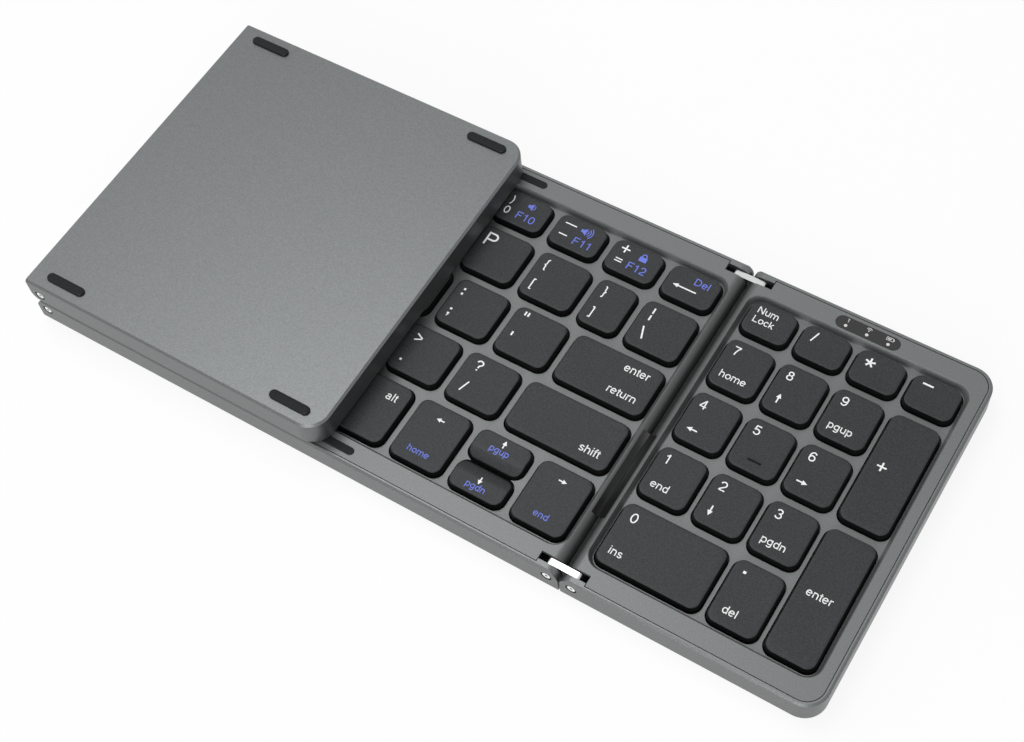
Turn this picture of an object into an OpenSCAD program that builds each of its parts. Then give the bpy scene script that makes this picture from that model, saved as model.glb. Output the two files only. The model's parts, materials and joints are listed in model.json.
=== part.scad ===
// Folding keyboard in three panels.
// The left panel lies folded, face down, on the middle panel. The number pad panel lies open.
// X runs along the keyboard, Y from the front to the rear, Z up from the rubber feet.

/* [Panels] */
// Depth of every panel, front to rear
panel_d = 96.5; // [94:0.5:104]
// Thickness of a panel, from the rim to the underside
panel_t = 8; // [8:0.1:9]
// Width of the middle panel between its hinge edges
mid_w = 155.6; // [152:0.2:170]
// Width of the number pad panel
pad_w = 64.8; // [64:0.2:70]
// Gap between the two outer panels when both are folded
split_gap = 0.6; // [0.4:0.1:2]
// Radius of the free corners, seen from above
corner_r = 5.8; // [4:0.2:8]
// Wall of the case below the deck
wall_t = 1.9; // [1.6:0.1:2.4]
// Floor of the case
floor_t = 0.9; // [0.7:0.1:1.2]
// Rim of the case round the deck
rim_w = 1; // [0.8:0.1:1.3]
// Bevel on the rim, across
rim_bevel = 0.6; // [0.2:0.1:0.7]
// Bevel on the rim, down
rim_bevel_h = 0.45; // [0.2:0.05:0.7]
// Bevel round the underside
base_bevel = 0.55; // [0.2:0.05:1]

/* [Hinges] */
// Radius of the rounded hinge edges, and depth of the pins below the rim
edge_r = 3.05; // [2.9:0.05:3.3]
// Gap between hinged edges, and between folded rims
fold_gap = 0.5; // [0.4:0.05:0.8]
// Thickness of a link
link_t = 1.6; // [1.2:0.1:2]
// Reach of a link past its pins, along and down
link_r = 1.25; // [1.1:0.05:1.35]
// Height of a link above its pins
link_top = 2.3; // [1.8:0.1:2.5]
// Clearance round a link
link_clear = 0.25; // [0.2:0.05:0.4]
// Ear of the case in front of a link, across
ear_t = 1.9; // [1.7:0.1:2.4]
// Ear of the case, along the wall
ear_l = 6; // [5.9:0.1:7]
// Inner boss that holds the far end of a pin
boss_t = 1.8; // [1.2:0.1:2]
// Radius of a hinge pin
pin_r = 0.75; // [0.6:0.05:0.9]
// Radius of a pin's head
pin_head_r = 1.2; // [1.1:0.05:1.4]
// Depth of a pin's head
pin_head_t = 0.6; // [0.4:0.1:0.9]
// Radial clearance of a link on its pins
pin_clear = 0.05; // [0.03:0.01:0.1]
// Ring left open round a pin's head
head_ring = 0.25; // [0.15:0.05:0.4]
// Depth of a pin's head below the wall's face
pin_recess = 0.1; // [0.05:0.05:0.2]
// Radial clearance of a pin in the case
pin_seat = 0.02; // [0.01:0.01:0.03]
// Length of the cable cover in a seam
cover_l = 24.8; // [20:0.2:30]
// Middle of the cable cover, from the middle of the panel
cover_y = -17.6; // [-20:0.2:-14]

/* [Deck] */
// Thickness of the deck
deck_t = 1; // [0.8:0.1:1.4]
// Parting line between deck and rim
deck_gap = 0.2; // [0.1:0.05:0.3]
// Depth of the well round the keys
well_h = 2; // [1.6:0.1:2.2]
// Slope of the well's wall, across
well_slope = 1.1; // [0.7:0.05:1.1]
// Web between the keys
web_t = 0.9; // [0.7:0.1:1]
// From the key field to the crest of the well, at the front and rear
well_margin = 2; // [1.8:0.1:2.4]
// From the key field to the crest of the well, at the sides
well_side = 1.8; // [1.6:0.1:1.8]
// Radius of the well's corners at the crest
well_r = 4.2; // [3.8:0.1:4.6]
// Length of a rubber bumper on the middle deck
bumper_l = 13.3; // [10:0.1:16]
// Width of a rubber bumper
bumper_w = 2.1; // [1.6:0.1:2.3]
// Height of a bumper above the deck
bumper_h = 0.3; // [0.2:0.05:0.3]
// Length of the status window
window_l = 16.7; // [14:0.1:18]
// Width of the status window
window_w = 3.5; // [3:0.1:3.6]
// Thickness of the status window
window_t = 0.6; // [0.4:0.1:0.7]
// Radius of a status light's light guide
light_r = 0.5; // [0.4:0.05:0.7]

/* [Keys] */
// From a panel's front or rear edge to the nearest key top
field_margin = 8.075; // [8.05:0.025:8.4]
// Height of a top row key's top, front to rear
top_row_d = 9.55; // [9:0.05:9.8]
// Height of a bottom row key's top
low_row_d = 16.85; // [16:0.05:17.5]
// Gap between two rows of key tops
row_gap = 2.95; // [2.7:0.05:3.2]
// Gap between two key tops in a row
col_gap = 2.65; // [2.5:0.05:2.8]
// Gap between two key tops in a row of the number pad
pad_col_gap = 2.2; // [2.1:0.05:2.4]
// Letter keys that fit side by side across the middle panel
mid_units = 8.75; // [8.6:0.05:8.9]
// Letter keys that fit side by side across the left panel
left_units = 4.85; // [4.8:0.05:4.9]
// Spacing of the top row's keys, as a share of the letter keys' spacing
top_pitch = 0.953; // [0.94:0.001:0.96]
// Width of the middle panel's enter key
enter_w = 24.4; // [22:0.1:25]
// Width of the middle panel's shift key
shift_w = 27.8; // [26:0.1:28.5]
// Width of the closing brace key
brace_w = 10.6; // [10:0.1:12]
// Width of a key beside the arrows
arrow_w = 14.1; // [13.6:0.1:14.5]
// From the hinge edge to the nearest key top
key_margin = 4.1; // [4.1:0.1:4.6]
// From a panel's free edge to the nearest key top
free_margin = 5.5; // [5.3:0.1:6]
// Radius of a key top's corners
key_r = 2.3; // [1.8:0.1:2.5]
// Drop of the key tops below the rim
key_drop = 0.1; // [0.05:0.05:0.3]
// Draft of a key's sides, across
key_draft = 0.4; // [0.2:0.05:0.45]
// Bevel on a key's top edge
key_bevel = 0.25; // [0.1:0.05:0.4]
// Height of a keycap
key_h = 3.1; // [3:0.1:3.3]
// Top and side walls of a keycap
key_wall = 1.1; // [0.9:0.1:1.1]
// Clearance of a key in its opening
key_clear = 0.25; // [0.2:0.05:0.3]
// Travel of a key
key_travel = 1.5; // [1.2:0.1:1.5]
// Radius of the stem under a keycap
stem_r = 1.6; // [1.2:0.1:1.8]

/* [Inside] */
// Thickness of the steel support plate
plate_t = 0.5; // [0.3:0.1:0.6]
// Gap under the support plate, filled by posts
plate_gap = 1; // [0.9:0.1:1.2]
// Thickness of the rubber dome sheet
sheet_t = 0.3; // [0.2:0.05:0.4]
// Radius of a dome at its foot
dome_r = 2.7; // [2:0.1:2.9]
// Radius of a post under the plate
post_r = 1.5; // [1:0.1:2]
// Width of the battery
battery_w = 30; // [20:1:32]
// Depth of the battery
battery_d = 11; // [8:0.5:12]
// Thickness of the battery
battery_t = 2; // [1.5:0.1:2.1]
// Width of the main board
board_w = 46; // [44:1:48]
// Depth of the main board
board_d = 15; // [12:1:18]
// Thickness of the main board
board_t = 0.6; // [0.4:0.1:0.6]
// Radius of a magnet
magnet_r = 1.9; // [1.5:0.1:1.95]
// Thickness of a magnet
magnet_t = 1.5; // [1:0.1:2]
// Width of the charging socket
socket_w = 8.9; // [8:0.1:9]
// Height of the charging socket
socket_h = 3.1; // [2.6:0.1:3.2]
// Depth of the charging socket
socket_d = 6.4; // [5:0.1:6.6]
// Width of the power switch's knob
knob_w = 3; // [2:0.1:4]
// Travel of the power switch
knob_travel = 2; // [1:0.1:3]

/* [Feet] */
// Length of a rubber foot
foot_l = 11.6; // [9:0.1:14]
// Width of a rubber foot
foot_w = 2.5; // [2:0.1:3]
// Height of a foot below the case
foot_h = 0.9; // [0.6:0.1:1.5]
// From a case's outer edge to the middle of a foot, front and rear
foot_in_y = 4; // [3.5:0.1:6]
// From a case's outer edge to the middle of a foot, left and right
foot_in_x = 10.4; // [9:0.1:16]

/* [Hidden] */
$fn = 64;
eps = 0.01;
far = 20;
left_w = mid_w - pad_w - split_gap;
pin_pitch = 2*edge_r + fold_gap;
rest_w = mid_w + fold_gap + pad_w;
rim_z = foot_h + panel_t;
mid_x = -rest_w/2;
pad_x = mid_x + mid_w + fold_gap;
half_d = panel_d/2;
slot_end = ear_t + link_t + 2*link_clear;
// Radius of a link's upper corners, and of the space that it turns in
link_corner = 0.9;
boss_gap = 0.15;
well_steps = 6;
// From the well's crest out to the deck's outer wall under it
tub_wall = 0.1;
slot_r = link_corner + norm([link_r - link_corner, link_top - link_corner]) + link_clear;
boss_r = pin_r + 1;
field_d = panel_d - 2*field_margin;
key_d = (field_d - top_row_d - low_row_d - 4*row_gap)/3;
pad_field_w = pad_w - key_margin - free_margin;
mid_field_w = mid_w - 2*key_margin;
left_field_w = left_w - key_margin - free_margin;
// Widths of the key tops of the pad, of the letter keys and of the top rows
pad_key_w = (pad_field_w - 3*pad_col_gap)/4;
key_w = (mid_field_w + col_gap)/mid_units - col_gap;
top_key_w = (key_w + col_gap)*top_pitch - col_gap;
left_key_w = (left_field_w + col_gap)/left_units - col_gap;
left_top_w = (left_key_w + col_gap)*top_pitch - col_gap;
deck_inset = rim_w + deck_gap;
web_z = -well_h;
key_top_z = -key_drop;
key_low_z = key_top_z - key_h;
plate_z = -panel_t + floor_t + plate_gap;
sheet_z = plate_z + plate_t;
dome_top_z = key_low_z - 0.1;
plate_half_d = field_d/2 + 1;
// From the ends of a case to its first posts
post_in = 4;
post_gap = 0.2;
light_x = [26.6, 32.2, 37.8];
light_y = half_d - 4.6;
window_x = 32.2;
window_y = half_d - 3.9;
board_x = 32;
socket_x = 49;
knob_x = 13.5;
board_z = -panel_t + floor_t;
socket_z = board_z + board_t;
// Height of a light on the board, and its top
light_h = 0.4;
light_top = socket_z + light_h;
light_gap = 0.1;
light_w = 1.1;
// Chip beside the lights, and housing of the power switch
chip_x = 21.5;
chip_w = 3.6;
chip_h = 1;
switch_w = 8;
switch_d = 2.6;
window_gap = 0.1;
half_key_gap = 1.2;
// The bumpers straddle the place where the two folded panels meet
bumper_x = left_w + split_gap/2;
bumper_y = half_d - 3.4;
// From a panel's edge to the plate and the sheet
inner_x = wall_t + 0.4;
// Middle of a magnet, from the middle panel's outer edges, and its gap to the wall
left_magnet_x = 24;
pad_magnet_x = 44;
magnet_gap = 0.15;
battery_x = key_margin + 4 + battery_w/2;
battery_gap = 0.3;
board_gap = 0.25;
socket_clear = 0.2;
socket_wall = 0.4;
socket_back = 0.3;
tongue_in = 1.2;
tongue_w = 5.9;
tongue_t = 0.7;
knob_clear = 0.3;
// From the case's inner face to the knob's root, and from its outer face to the knob's end
knob_root = 1.2;
knob_sink = 0.15;
knob_h = 1.5;
knob_z = -4.9;
// Cable covers: thickness of the flat one, half width and drop of the wedge, its gap to the edges
cover_flat = 0.2;
cover_half = 1.8;
cover_drop = 0.3;
cover_gap = 0.12;
case_grey = [0.47, 0.49, 0.49];
rubber = [0.16, 0.16, 0.17];
steel = [0.85, 0.85, 0.84];
// Row 0 is the top row of keys. A row lists its keys' widths from the left.
mid_rows = [
    fit_row(mid_field_w, [for (i = [1:8]) top_key_w]),
    fit_row(mid_field_w, [key_w, key_w, key_w, key_w, key_w, key_w, brace_w, key_w - 0.1]),
    fit_row(mid_field_w, [key_w, key_w, key_w, key_w, key_w, key_w, enter_w]),
    fit_row(mid_field_w, [key_w, key_w, key_w, key_w, key_w, key_w, shift_w]),
    fit_row(mid_field_w, [key_w, arrow_w, key_w, arrow_w])];
left_rows = [
    fit_row(left_field_w, [for (i = [1:4]) left_top_w]),
    fit_row(left_field_w, [for (i = [1:4]) left_key_w]),
    fit_row(left_field_w, [for (i = [1:4]) left_key_w]),
    fit_row(left_field_w, [for (i = [1:3]) left_key_w]),
    fit_low_row(left_field_w, left_key_w)];

// Sum of a list
function total(v, n = 0) = n < len(v) ? v[n] + total(v, n + 1) : 0;
// A row whose first key takes the width that the others leave
function fit_row(w, rest) = concat([w - total(rest) - len(rest)*col_gap], rest);
// A row whose last key takes the width that three others leave
function fit_low_row(w, kw) = [kw, kw, kw, w - 3*kw - 3*col_gap];
// Front to rear size of the keys in a row
function row_d(row) = row == 0 ? top_row_d : row == 4 ? low_row_d : key_d;
// Middle of a row, front to rear
function row_y(row) = field_d/2 - row_d(row)/2
    - (row == 0 ? 0 : top_row_d + row_gap + (row - 1)*(key_d + row_gap));
// Left side of a key's top, counted from the left of the key field
function key_left(widths, i, gap) = i == 0 ? 0 : key_left(widths, i - 1, gap) + widths[i - 1] + gap;
// Keys of a row as [middle x, middle y, width, depth]
function row_keys(widths, row, x0, gap) = [for (i = [0:len(widths) - 1])
    [x0 + key_left(widths, i, gap) + widths[i]/2, row_y(row), widths[i], row_d(row)]];
function mid_row(row) = row < 4 ? row_keys(mid_rows[row], row, key_margin, col_gap)
    : split_arrows(row_keys(mid_rows[4], 4, key_margin, col_gap));
// The fourth key of the bottom row is two half keys, up and down
function split_arrows(keys) = concat([for (i = [0, 1, 2]) keys[i]], [half_key(keys[3], 1)],
    [half_key(keys[3], -1)], [keys[4]]);
function half_key(k, side) = [k[0], k[1] + side*(k[3] + half_key_gap)/4, k[2], (k[3] - half_key_gap)/2];
function left_row(row) = row_keys(left_rows[row], row, free_margin, col_gap);
function pad_col_x(col) = key_margin + pad_key_w/2 + col*(pad_key_w + pad_col_gap);
function pad_key(col, row) = [pad_col_x(col), row_y(row), pad_key_w, row_d(row)];
// A number pad key that spans two rows, row and the next one down
function pad_tall(row) = [pad_col_x(3), (row_y(row) + row_d(row)/2 + row_y(row + 1) - row_d(row + 1)/2)/2,
    pad_key_w, row_d(row) + row_gap + row_d(row + 1)];
function pad_zero() = [(pad_col_x(0) + pad_col_x(1))/2, row_y(4), 2*pad_key_w + pad_col_gap, low_row_d];
mid_keys = [for (row = [0:4]) each mid_row(row)];
left_keys = [for (row = [0:4]) each left_row(row)];
pad_keys = concat([for (c = [0:3]) pad_key(c, 0)], [for (c = [0:2]) pad_key(c, 1)], [pad_tall(1)],
    [for (c = [0:2]) pad_key(c, 2)], [for (c = [0:2]) pad_key(c, 3)], [pad_tall(3)],
    [pad_zero()], [pad_key(2, 4)]);

// Places of the three panels. A panel's own frame has Z = 0 at its rim and Y = 0 at its middle.
module at_mid() { translate([mid_x, 0, rim_z]) children(); }
module at_pad() { translate([pad_x, 0, rim_z]) children(); }
module at_left() { translate([mid_x + left_w, 0, rim_z + fold_gap]) rotate([0, 180, 0]) children(); }

// A slab with rounded corners whose side follows a profile of [outward, height] points, low to high
module profiled_slab(w, d, r, profile) {
    n = len(profile) - 1;
    down = [for (i = [0:n]) profile[n - i]];
    for (x = [-1, 1], y = [-1, 1])
        translate([x*(w/2 - r), y*(d/2 - r), 0])
            rotate_extrude()
                polygon(concat([[0, profile[0][1]]], [for (p = profile) [r + p[0], p[1]]],
                    [[0, profile[n][1]]]));
    rotate([90, 0, 90])
        linear_extrude(w - 2*r, center = true)
            polygon(concat([for (p = profile) [d/2 + p[0], p[1]]], [for (p = down) [-d/2 - p[0], p[1]]]));
    rotate([90, 0, 0])
        linear_extrude(d - 2*r, center = true)
            polygon(concat([for (p = profile) [w/2 + p[0], p[1]]], [for (p = down) [-w/2 - p[0], p[1]]]));
}

// Flat rounded rectangle
module round_rect(w, d, r) {
    square([w - 2*r, d], center = true);
    square([w, d - 2*r], center = true);
    for (x = [-1, 1], y = [-1, 1]) translate([x*(w/2 - r), y*(d/2 - r)]) circle(r);
}

// Upright bar with round ends, along X, from z0 to z1
module stadium(l, w, z0, z1) {
    translate([-(l - w)/2, -w/2, z0]) cube([l - w, w, z1 - z0]);
    for (x = [-1, 1]) translate([x*(l - w)/2, 0, z0]) cylinder(z1 - z0, r = w/2);
}

// Space of a panel seen from the front, with a quarter round at each hinge edge
module hinge_space(w, left, right, d) {
    x0 = left ? edge_r : -far;
    x1 = right ? w - edge_r : w + far;
    rotate([90, 0, 0])
        linear_extrude(d, center = true)
            union() {
                translate([x0, -panel_t - eps]) square([x1 - x0, panel_t + 2*eps]);
                translate([left ? 0 : x0, -panel_t - eps])
                    square([(right ? w : x1) - (left ? 0 : x0), panel_t - edge_r + eps]);
                if (left) translate([edge_r, -edge_r]) circle(edge_r);
                if (right) translate([w - edge_r, -edge_r]) circle(edge_r);
            }
}

// Rounded plan of a panel set in from its edges, running on past each hinge edge
module plan_slab(w, left, right, inset, profile) {
    x0 = left ? -far : inset;
    x1 = right ? w + far : w - inset;
    translate([(x0 + x1)/2, 0, 0])
        profiled_slab(x1 - x0, panel_d - 2*inset, corner_r - inset, profile);
}

// Runs its children at each hinge edge of a panel, with X = 0 at the edge and X growing inwards
module at_hinges(w, left, right) {
    if (left) children();
    if (right) translate([w, 0, 0]) mirror([1, 0, 0]) children();
}

// Space that a link or a cover sweeps at one hinge edge
module swing_slot(y0, y1, r) {
    translate([-far, y0, -edge_r - r]) cube([far + edge_r + r, y1 - y0, edge_r + r + far]);
}

// Case: tray with a bevelled rim and underside, a ledge for the deck and ears for the hinge pins
module case_shell(w, left, right) {
    x0 = left ? rim_w : wall_t;
    x1 = right ? w - rim_w : w - wall_t;
    difference() {
        intersection() {
            plan_slab(w, left, right, 0, [[-base_bevel, -panel_t], [0, -panel_t + base_bevel],
                [0, -rim_bevel_h], [-rim_bevel, 0]]);
            hinge_space(w, left, right, panel_d + 2);
        }
        difference() {
            intersection() {
                union() {
                    plan_slab(w, left, right, wall_t, [[0, -panel_t + floor_t], [0, far]]);
                    plan_slab(w, left, right, rim_w, [[0, -deck_t], [0, far]]);
                }
                translate([x0 - (left ? 0 : far), -half_d, -far])
                    cube([x1 - x0 + (left ? 0 : far) + (right ? 0 : far), panel_d, 2*far]);
            }
            at_hinges(w, left, right) for (y = [-1, 1]) {
                translate([-1, y > 0 ? half_d - ear_t : -half_d, -panel_t])
                    cube([ear_l + 1, ear_t, panel_t + 1]);
                hinge_boss(y);
            }
        }
        at_hinges(w, left, right) {
            hinge_half = half_d - slot_end;
            translate([-1, -hinge_half, -edge_r]) cube([1 + rim_w, 2*hinge_half, far]);
            for (y = [-1, 1]) {
                edge = y*(half_d - (ear_t + slot_end)/2);
                swing_slot(edge - (slot_end - ear_t)/2, edge + (slot_end - ear_t)/2, slot_r);
                translate([edge_r, y*(half_d + 1), -edge_r]) rotate([90*y, 0, 0]) {
                    cylinder(slot_end + boss_t + 2, r = pin_r + pin_seat);
                    cylinder(pin_head_t + pin_recess + 1, r = pin_head_r + head_ring);
                }
            }
        }
    }
    posts(w, x0, x1);
}

// Boss inside the case that holds the inner end of a pin
module hinge_boss(y) {
    y0 = half_d - slot_end - boss_t;
    mirror([0, y > 0 ? 0 : 1, 0]) {
        translate([edge_r - boss_r, y0, -panel_t + base_bevel])
            cube([2*boss_r, boss_t, panel_t - base_bevel - edge_r]);
        translate([edge_r, y0, -edge_r]) rotate([-90, 0, 0]) cylinder(boss_t, r = boss_r);
    }
}

// Posts on the case's floor that carry the support plate
module posts(w, x0, x1) {
    n = max(2, floor(w/36));
    for (i = [0:n], y = [-1, 1])
        translate([x0 + post_in + i*(x1 - x0 - 2*post_in)/n, y*(plate_half_d - 2*post_r),
            -panel_t + floor_t/2])
            cylinder(plate_z + panel_t - floor_t/2, r = post_r);
}

// Deck: top cover with a well, a web with an opening for each key, and rounded hinge edges
module deck_plate(w, left, right, keys, field_x, field_w) {
    sides = field_w + 2*well_side;
    depth = field_d + 2*well_margin;
    difference() {
        intersection() {
            union() {
                plan_slab(w, left, right, deck_inset, [[0, -deck_t], [0, 0]]);
                translate([field_x + field_w/2, 0, 0])
                    profiled_slab(sides, depth, well_r, [[tub_wall, web_z - web_t], [tub_wall, -deck_t/2]]);
                at_hinges(w, left, right)
                    translate([0, -half_d + slot_end, -edge_r])
                        cube([key_margin - key_draft - key_clear, panel_d - 2*slot_end, edge_r]);
            }
            hinge_space(w, left, right, panel_d);
        }
        translate([field_x + field_w/2, 0, 0])
            profiled_slab(sides, depth, well_r, concat(well_profile(), [[0, 1]]));
        translate([0, 0, web_z - web_t - 1])
            linear_extrude(web_t + 2) key_openings(keys);
        at_hinges(w, left, right) for (y = [-1, 1]) mirror([0, y > 0 ? 0 : 1, 0]) {
            translate([-1, half_d - slot_end, -far]) cube([ear_l + deck_gap + 1, slot_end + 1, 2*far]);
            translate([edge_r - boss_r - boss_gap, half_d - slot_end - boss_t - boss_gap, -far])
                cube([2*(boss_r + boss_gap), boss_t + 1, far - edge_r + boss_r + boss_gap]);
        }
    }
}

// Side of the well: flat at the web, steepest half way up and flat again at the crest
function well_profile() = [for (i = [0:well_steps]) let (t = i/well_steps)
    [-well_slope*(1 - t), web_z*(1 - t*t*(3 - 2*t))]];

module key_openings(keys) {
    for (k = keys) translate([k[0], k[1]])
        round_rect(k[2] + 2*(key_draft + key_clear), k[3] + 2*(key_draft + key_clear),
            key_r + key_draft + key_clear);
}

// Keycap: drafted shell with a stem over its dome
module keycap(k) {
    translate([k[0], k[1], 0]) {
        difference() {
            profiled_slab(k[2], k[3], key_r, [[key_draft, key_low_z], [key_draft, web_z],
                [0, key_top_z - key_bevel], [-key_bevel, key_top_z]]);
            translate([0, 0, key_low_z - 1])
                linear_extrude(key_h - key_wall + 1)
                    square([k[2] + 2*(key_draft - key_wall), k[3] + 2*(key_draft - key_wall)], center = true);
        }
        translate([0, 0, key_low_z]) cylinder(key_h - key_wall/2, r = stem_r);
        if (k[2] > 1.5*key_w) for (x = [-1, 1]) translate([x*k[2]/3, 0, key_low_z])
            cylinder(key_h - key_wall/2, r = stem_r);
    }
}

module keys_of(list) { color([0.22, 0.23, 0.24]) for (k = list) keycap(k); }

// Rubber sheet with a dome under each key
module dome_sheet(w, x0, keys) {
    color([0.75, 0.75, 0.72]) {
        translate([x0, -plate_half_d, sheet_z]) cube([w - 2*x0, 2*plate_half_d, sheet_t]);
        for (k = keys) translate([k[0], k[1], sheet_z + sheet_t/2])
            cylinder(dome_top_z - sheet_z - sheet_t/2, r1 = dome_r, r2 = stem_r);
    }
}

// Steel plate under the dome sheet
module support_plate(w, x0) {
    color([0.6, 0.61, 0.62])
        translate([x0, -plate_half_d, plate_z]) cube([w - 2*x0, 2*plate_half_d, plate_t]);
}

// Hinge pins of a panel, with their heads in the outer walls
module hinge_pins(w, left, right) {
    color([0.85, 0.85, 0.84]) at_hinges(w, left, right) for (y = [-1, 1])
        translate([edge_r, y*(half_d - pin_recess), -edge_r]) rotate([90*y, 0, 0]) {
            cylinder(slot_end + boss_t - pin_recess, r = pin_r);
            difference() {
                cylinder(pin_head_t, r = pin_head_r);
                translate([0, 0, -eps]) cylinder(pin_head_t/2, r = pin_head_r/3);
            }
        }
}

// Link plate on two pins. It stands on edge, from the origin along X.
module link_plate() {
    rotate([90, 0, 0]) linear_extrude(link_t, center = true) difference() {
        translate([pin_pitch/2, (link_top - link_r)/2])
            round_rect(pin_pitch + 2*link_r, link_top + link_r, link_corner);
        for (x = [0, pin_pitch]) translate([x, 0]) circle(pin_r + pin_clear);
    }
}

module link_pair() {
    for (y = [-1, 1]) translate([0, y*(half_d - ear_t - link_clear - link_t/2), 0]) link_plate();
}

// Four rubber feet under a panel
module feet(w) {
    color([0.16, 0.16, 0.17]) for (x = [foot_in_x, w - foot_in_x], y = [-1, 1])
        translate([x, y*(half_d - foot_in_y), 0])
            stadium(foot_l, foot_w, -panel_t - foot_h, -panel_t);
}

// Magnets in pockets under the deck, near a free or facing edge
module magnets(places) {
    color([0.8, 0.8, 0.78]) for (x = places, y = [-1, 1])
        translate([x, y*(half_d - wall_t - magnet_r - magnet_gap), -deck_t - magnet_t])
            cylinder(magnet_t, r = magnet_r);
}

module mid_case() { color(case_grey) at_mid() case_shell(mid_w, true, true); }
module mid_deck() {
    color(case_grey) at_mid() difference() {
        deck_plate(mid_w, true, true, mid_keys, key_margin, mid_field_w);
        bumper_pair(bumper_h + 1);
    }
}
module bumper_pair(top) {
    for (y = [-1, 1]) translate([bumper_x, y*bumper_y, 0]) stadium(bumper_l, bumper_w, -deck_t/2, top);
}
module mid_plate() {
    at_mid() difference() {
        support_plate(mid_w, inner_x);
        battery_space(far);
    }
}
module mid_domes() {
    at_mid() difference() {
        dome_sheet(mid_w, inner_x, mid_keys);
        battery_space(far);
    }
}
module mid_keys_row0() { at_mid() keys_of(mid_row(0)); }
module mid_keys_row1() { at_mid() keys_of(mid_row(1)); }
module mid_keys_row2() { at_mid() keys_of(mid_row(2)); }
module mid_keys_row3() { at_mid() keys_of(mid_row(3)); }
module mid_keys_row4() { at_mid() keys_of(mid_row(4)); }
module mid_feet() { at_mid() feet(mid_w); }
module mid_bumpers() { color(rubber) at_mid() bumper_pair(bumper_h); }
module mid_hinge_pins() { at_mid() hinge_pins(mid_w, true, true); }
module mid_magnets() { at_mid() magnets([left_w - left_magnet_x, mid_w - pad_magnet_x]); }
// Flat cell under the space bar, in a window of the plate and the sheet
module battery() {
    color([0.3, 0.35, 0.5]) at_mid()
        translate([battery_x, row_y(4), board_z + battery_t/2])
            cube([battery_w, battery_d, battery_t], center = true);
}
module battery_space(h) {
    translate([battery_x, row_y(4), 0])
        cube([battery_w + 2*battery_gap, battery_d + 2*battery_gap, 2*h], center = true);
}

// Opening of the charging socket, or its shell, looked at from the rear
module socket_outline(grow) {
    h = socket_h + 2*grow;
    square([socket_w + 2*grow - h, h], center = true);
    for (x = [-1, 1]) translate([x*(socket_w + 2*grow - h)/2, 0]) circle(h/2);
}
module at_socket(y) { translate([socket_x, y, socket_z + socket_h/2]) rotate([90, 0, 0]) children(); }

module pad_case() {
    color(case_grey) at_pad() difference() {
        case_shell(pad_w, true, false);
        at_socket(half_d + 1) linear_extrude(wall_t + 2) socket_outline(socket_clear);
        translate([knob_x, half_d, knob_z])
            cube([knob_w + knob_travel + 2*knob_clear, 3*wall_t, knob_h + 2*knob_clear], center = true);
    }
}
module pad_deck() {
    color(case_grey) at_pad() difference() {
        deck_plate(pad_w, true, false, pad_keys, key_margin, pad_field_w);
        translate([window_x, window_y, 0])
            stadium(window_l + 2*window_gap, window_w + 2*window_gap, -window_t, 1);
        for (x = light_x) translate([x, light_y, -2*deck_t]) cylinder(3*deck_t, r = light_r + window_gap);
    }
}
module pad_plate() { at_pad() support_plate(pad_w, inner_x); }
module pad_domes() { at_pad() dome_sheet(pad_w, inner_x, pad_keys); }
module key_num_lock() { at_pad() keys_of([pad_keys[0]]); }
module key_divide() { at_pad() keys_of([pad_keys[1]]); }
module key_times() { at_pad() keys_of([pad_keys[2]]); }
module key_minus() { at_pad() keys_of([pad_keys[3]]); }
module key_7() { at_pad() keys_of([pad_keys[4]]); }
module key_8() { at_pad() keys_of([pad_keys[5]]); }
module key_9() { at_pad() keys_of([pad_keys[6]]); }
module key_plus() { at_pad() keys_of([pad_keys[7]]); }
module key_4() { at_pad() keys_of([pad_keys[8]]); }
module key_5() { at_pad() keys_of([pad_keys[9]]); }
module key_6() { at_pad() keys_of([pad_keys[10]]); }
module key_1() { at_pad() keys_of([pad_keys[11]]); }
module key_2() { at_pad() keys_of([pad_keys[12]]); }
module key_3() { at_pad() keys_of([pad_keys[13]]); }
module key_enter() { at_pad() keys_of([pad_keys[14]]); }
module key_0() { at_pad() keys_of([pad_keys[15]]); }
module key_point() { at_pad() keys_of([pad_keys[16]]); }
module pad_feet() { at_pad() feet(pad_w); }
module pad_hinge_pins() { at_pad() hinge_pins(pad_w, true, false); }
module pad_magnets() { at_pad() magnets([pad_magnet_x]); }
// Window let into the deck, with a light guide down to each light
module status_window() {
    color([0.1, 0.1, 0.11]) at_pad() {
        translate([window_x, window_y, 0]) stadium(window_l, window_w, -window_t, 0);
        for (x = light_x) translate([x, light_y, light_top + light_gap])
            cylinder(-window_t/2 - light_top - light_gap, r = light_r);
    }
}
// Board with its chips, the three lights and the switch's housing
module main_board() {
    y1 = half_d - wall_t - board_gap;
    color([0.1, 0.35, 0.2]) at_pad() {
        difference() {
            translate([board_x - board_w/2, y1 - board_d, board_z]) cube([board_w, board_d, board_t]);
            translate([(rim_w + pad_w - wall_t)/2, plate_half_d - 2*post_r, board_z - 1])
                cylinder(board_t + 2, r = post_r + post_gap);
        }
        for (x = light_x) translate([x, light_y, socket_z + light_h/2 - eps])
            cube([light_w, light_w, light_h], center = true);
        translate([chip_x, light_y, socket_z + chip_h/2 - eps]) cube([chip_w, chip_w, chip_h], center = true);
        translate([knob_x - switch_w/2, half_d - wall_t - knob_root - knob_clear/2 - switch_d, socket_z - eps])
            cube([switch_w, switch_d, switch_d]);
    }
}
// Metal shell of the charging socket with its tongue
module charge_socket() {
    color(steel) at_pad() {
        difference() {
            at_socket(half_d - socket_back) linear_extrude(socket_d) socket_outline(0);
            at_socket(half_d)
                linear_extrude(socket_d - socket_wall - socket_back) socket_outline(-socket_wall);
        }
        at_socket(half_d - tongue_in)
            linear_extrude(socket_d - tongue_in) square([tongue_w, tongue_t], center = true);
    }
}
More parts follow.
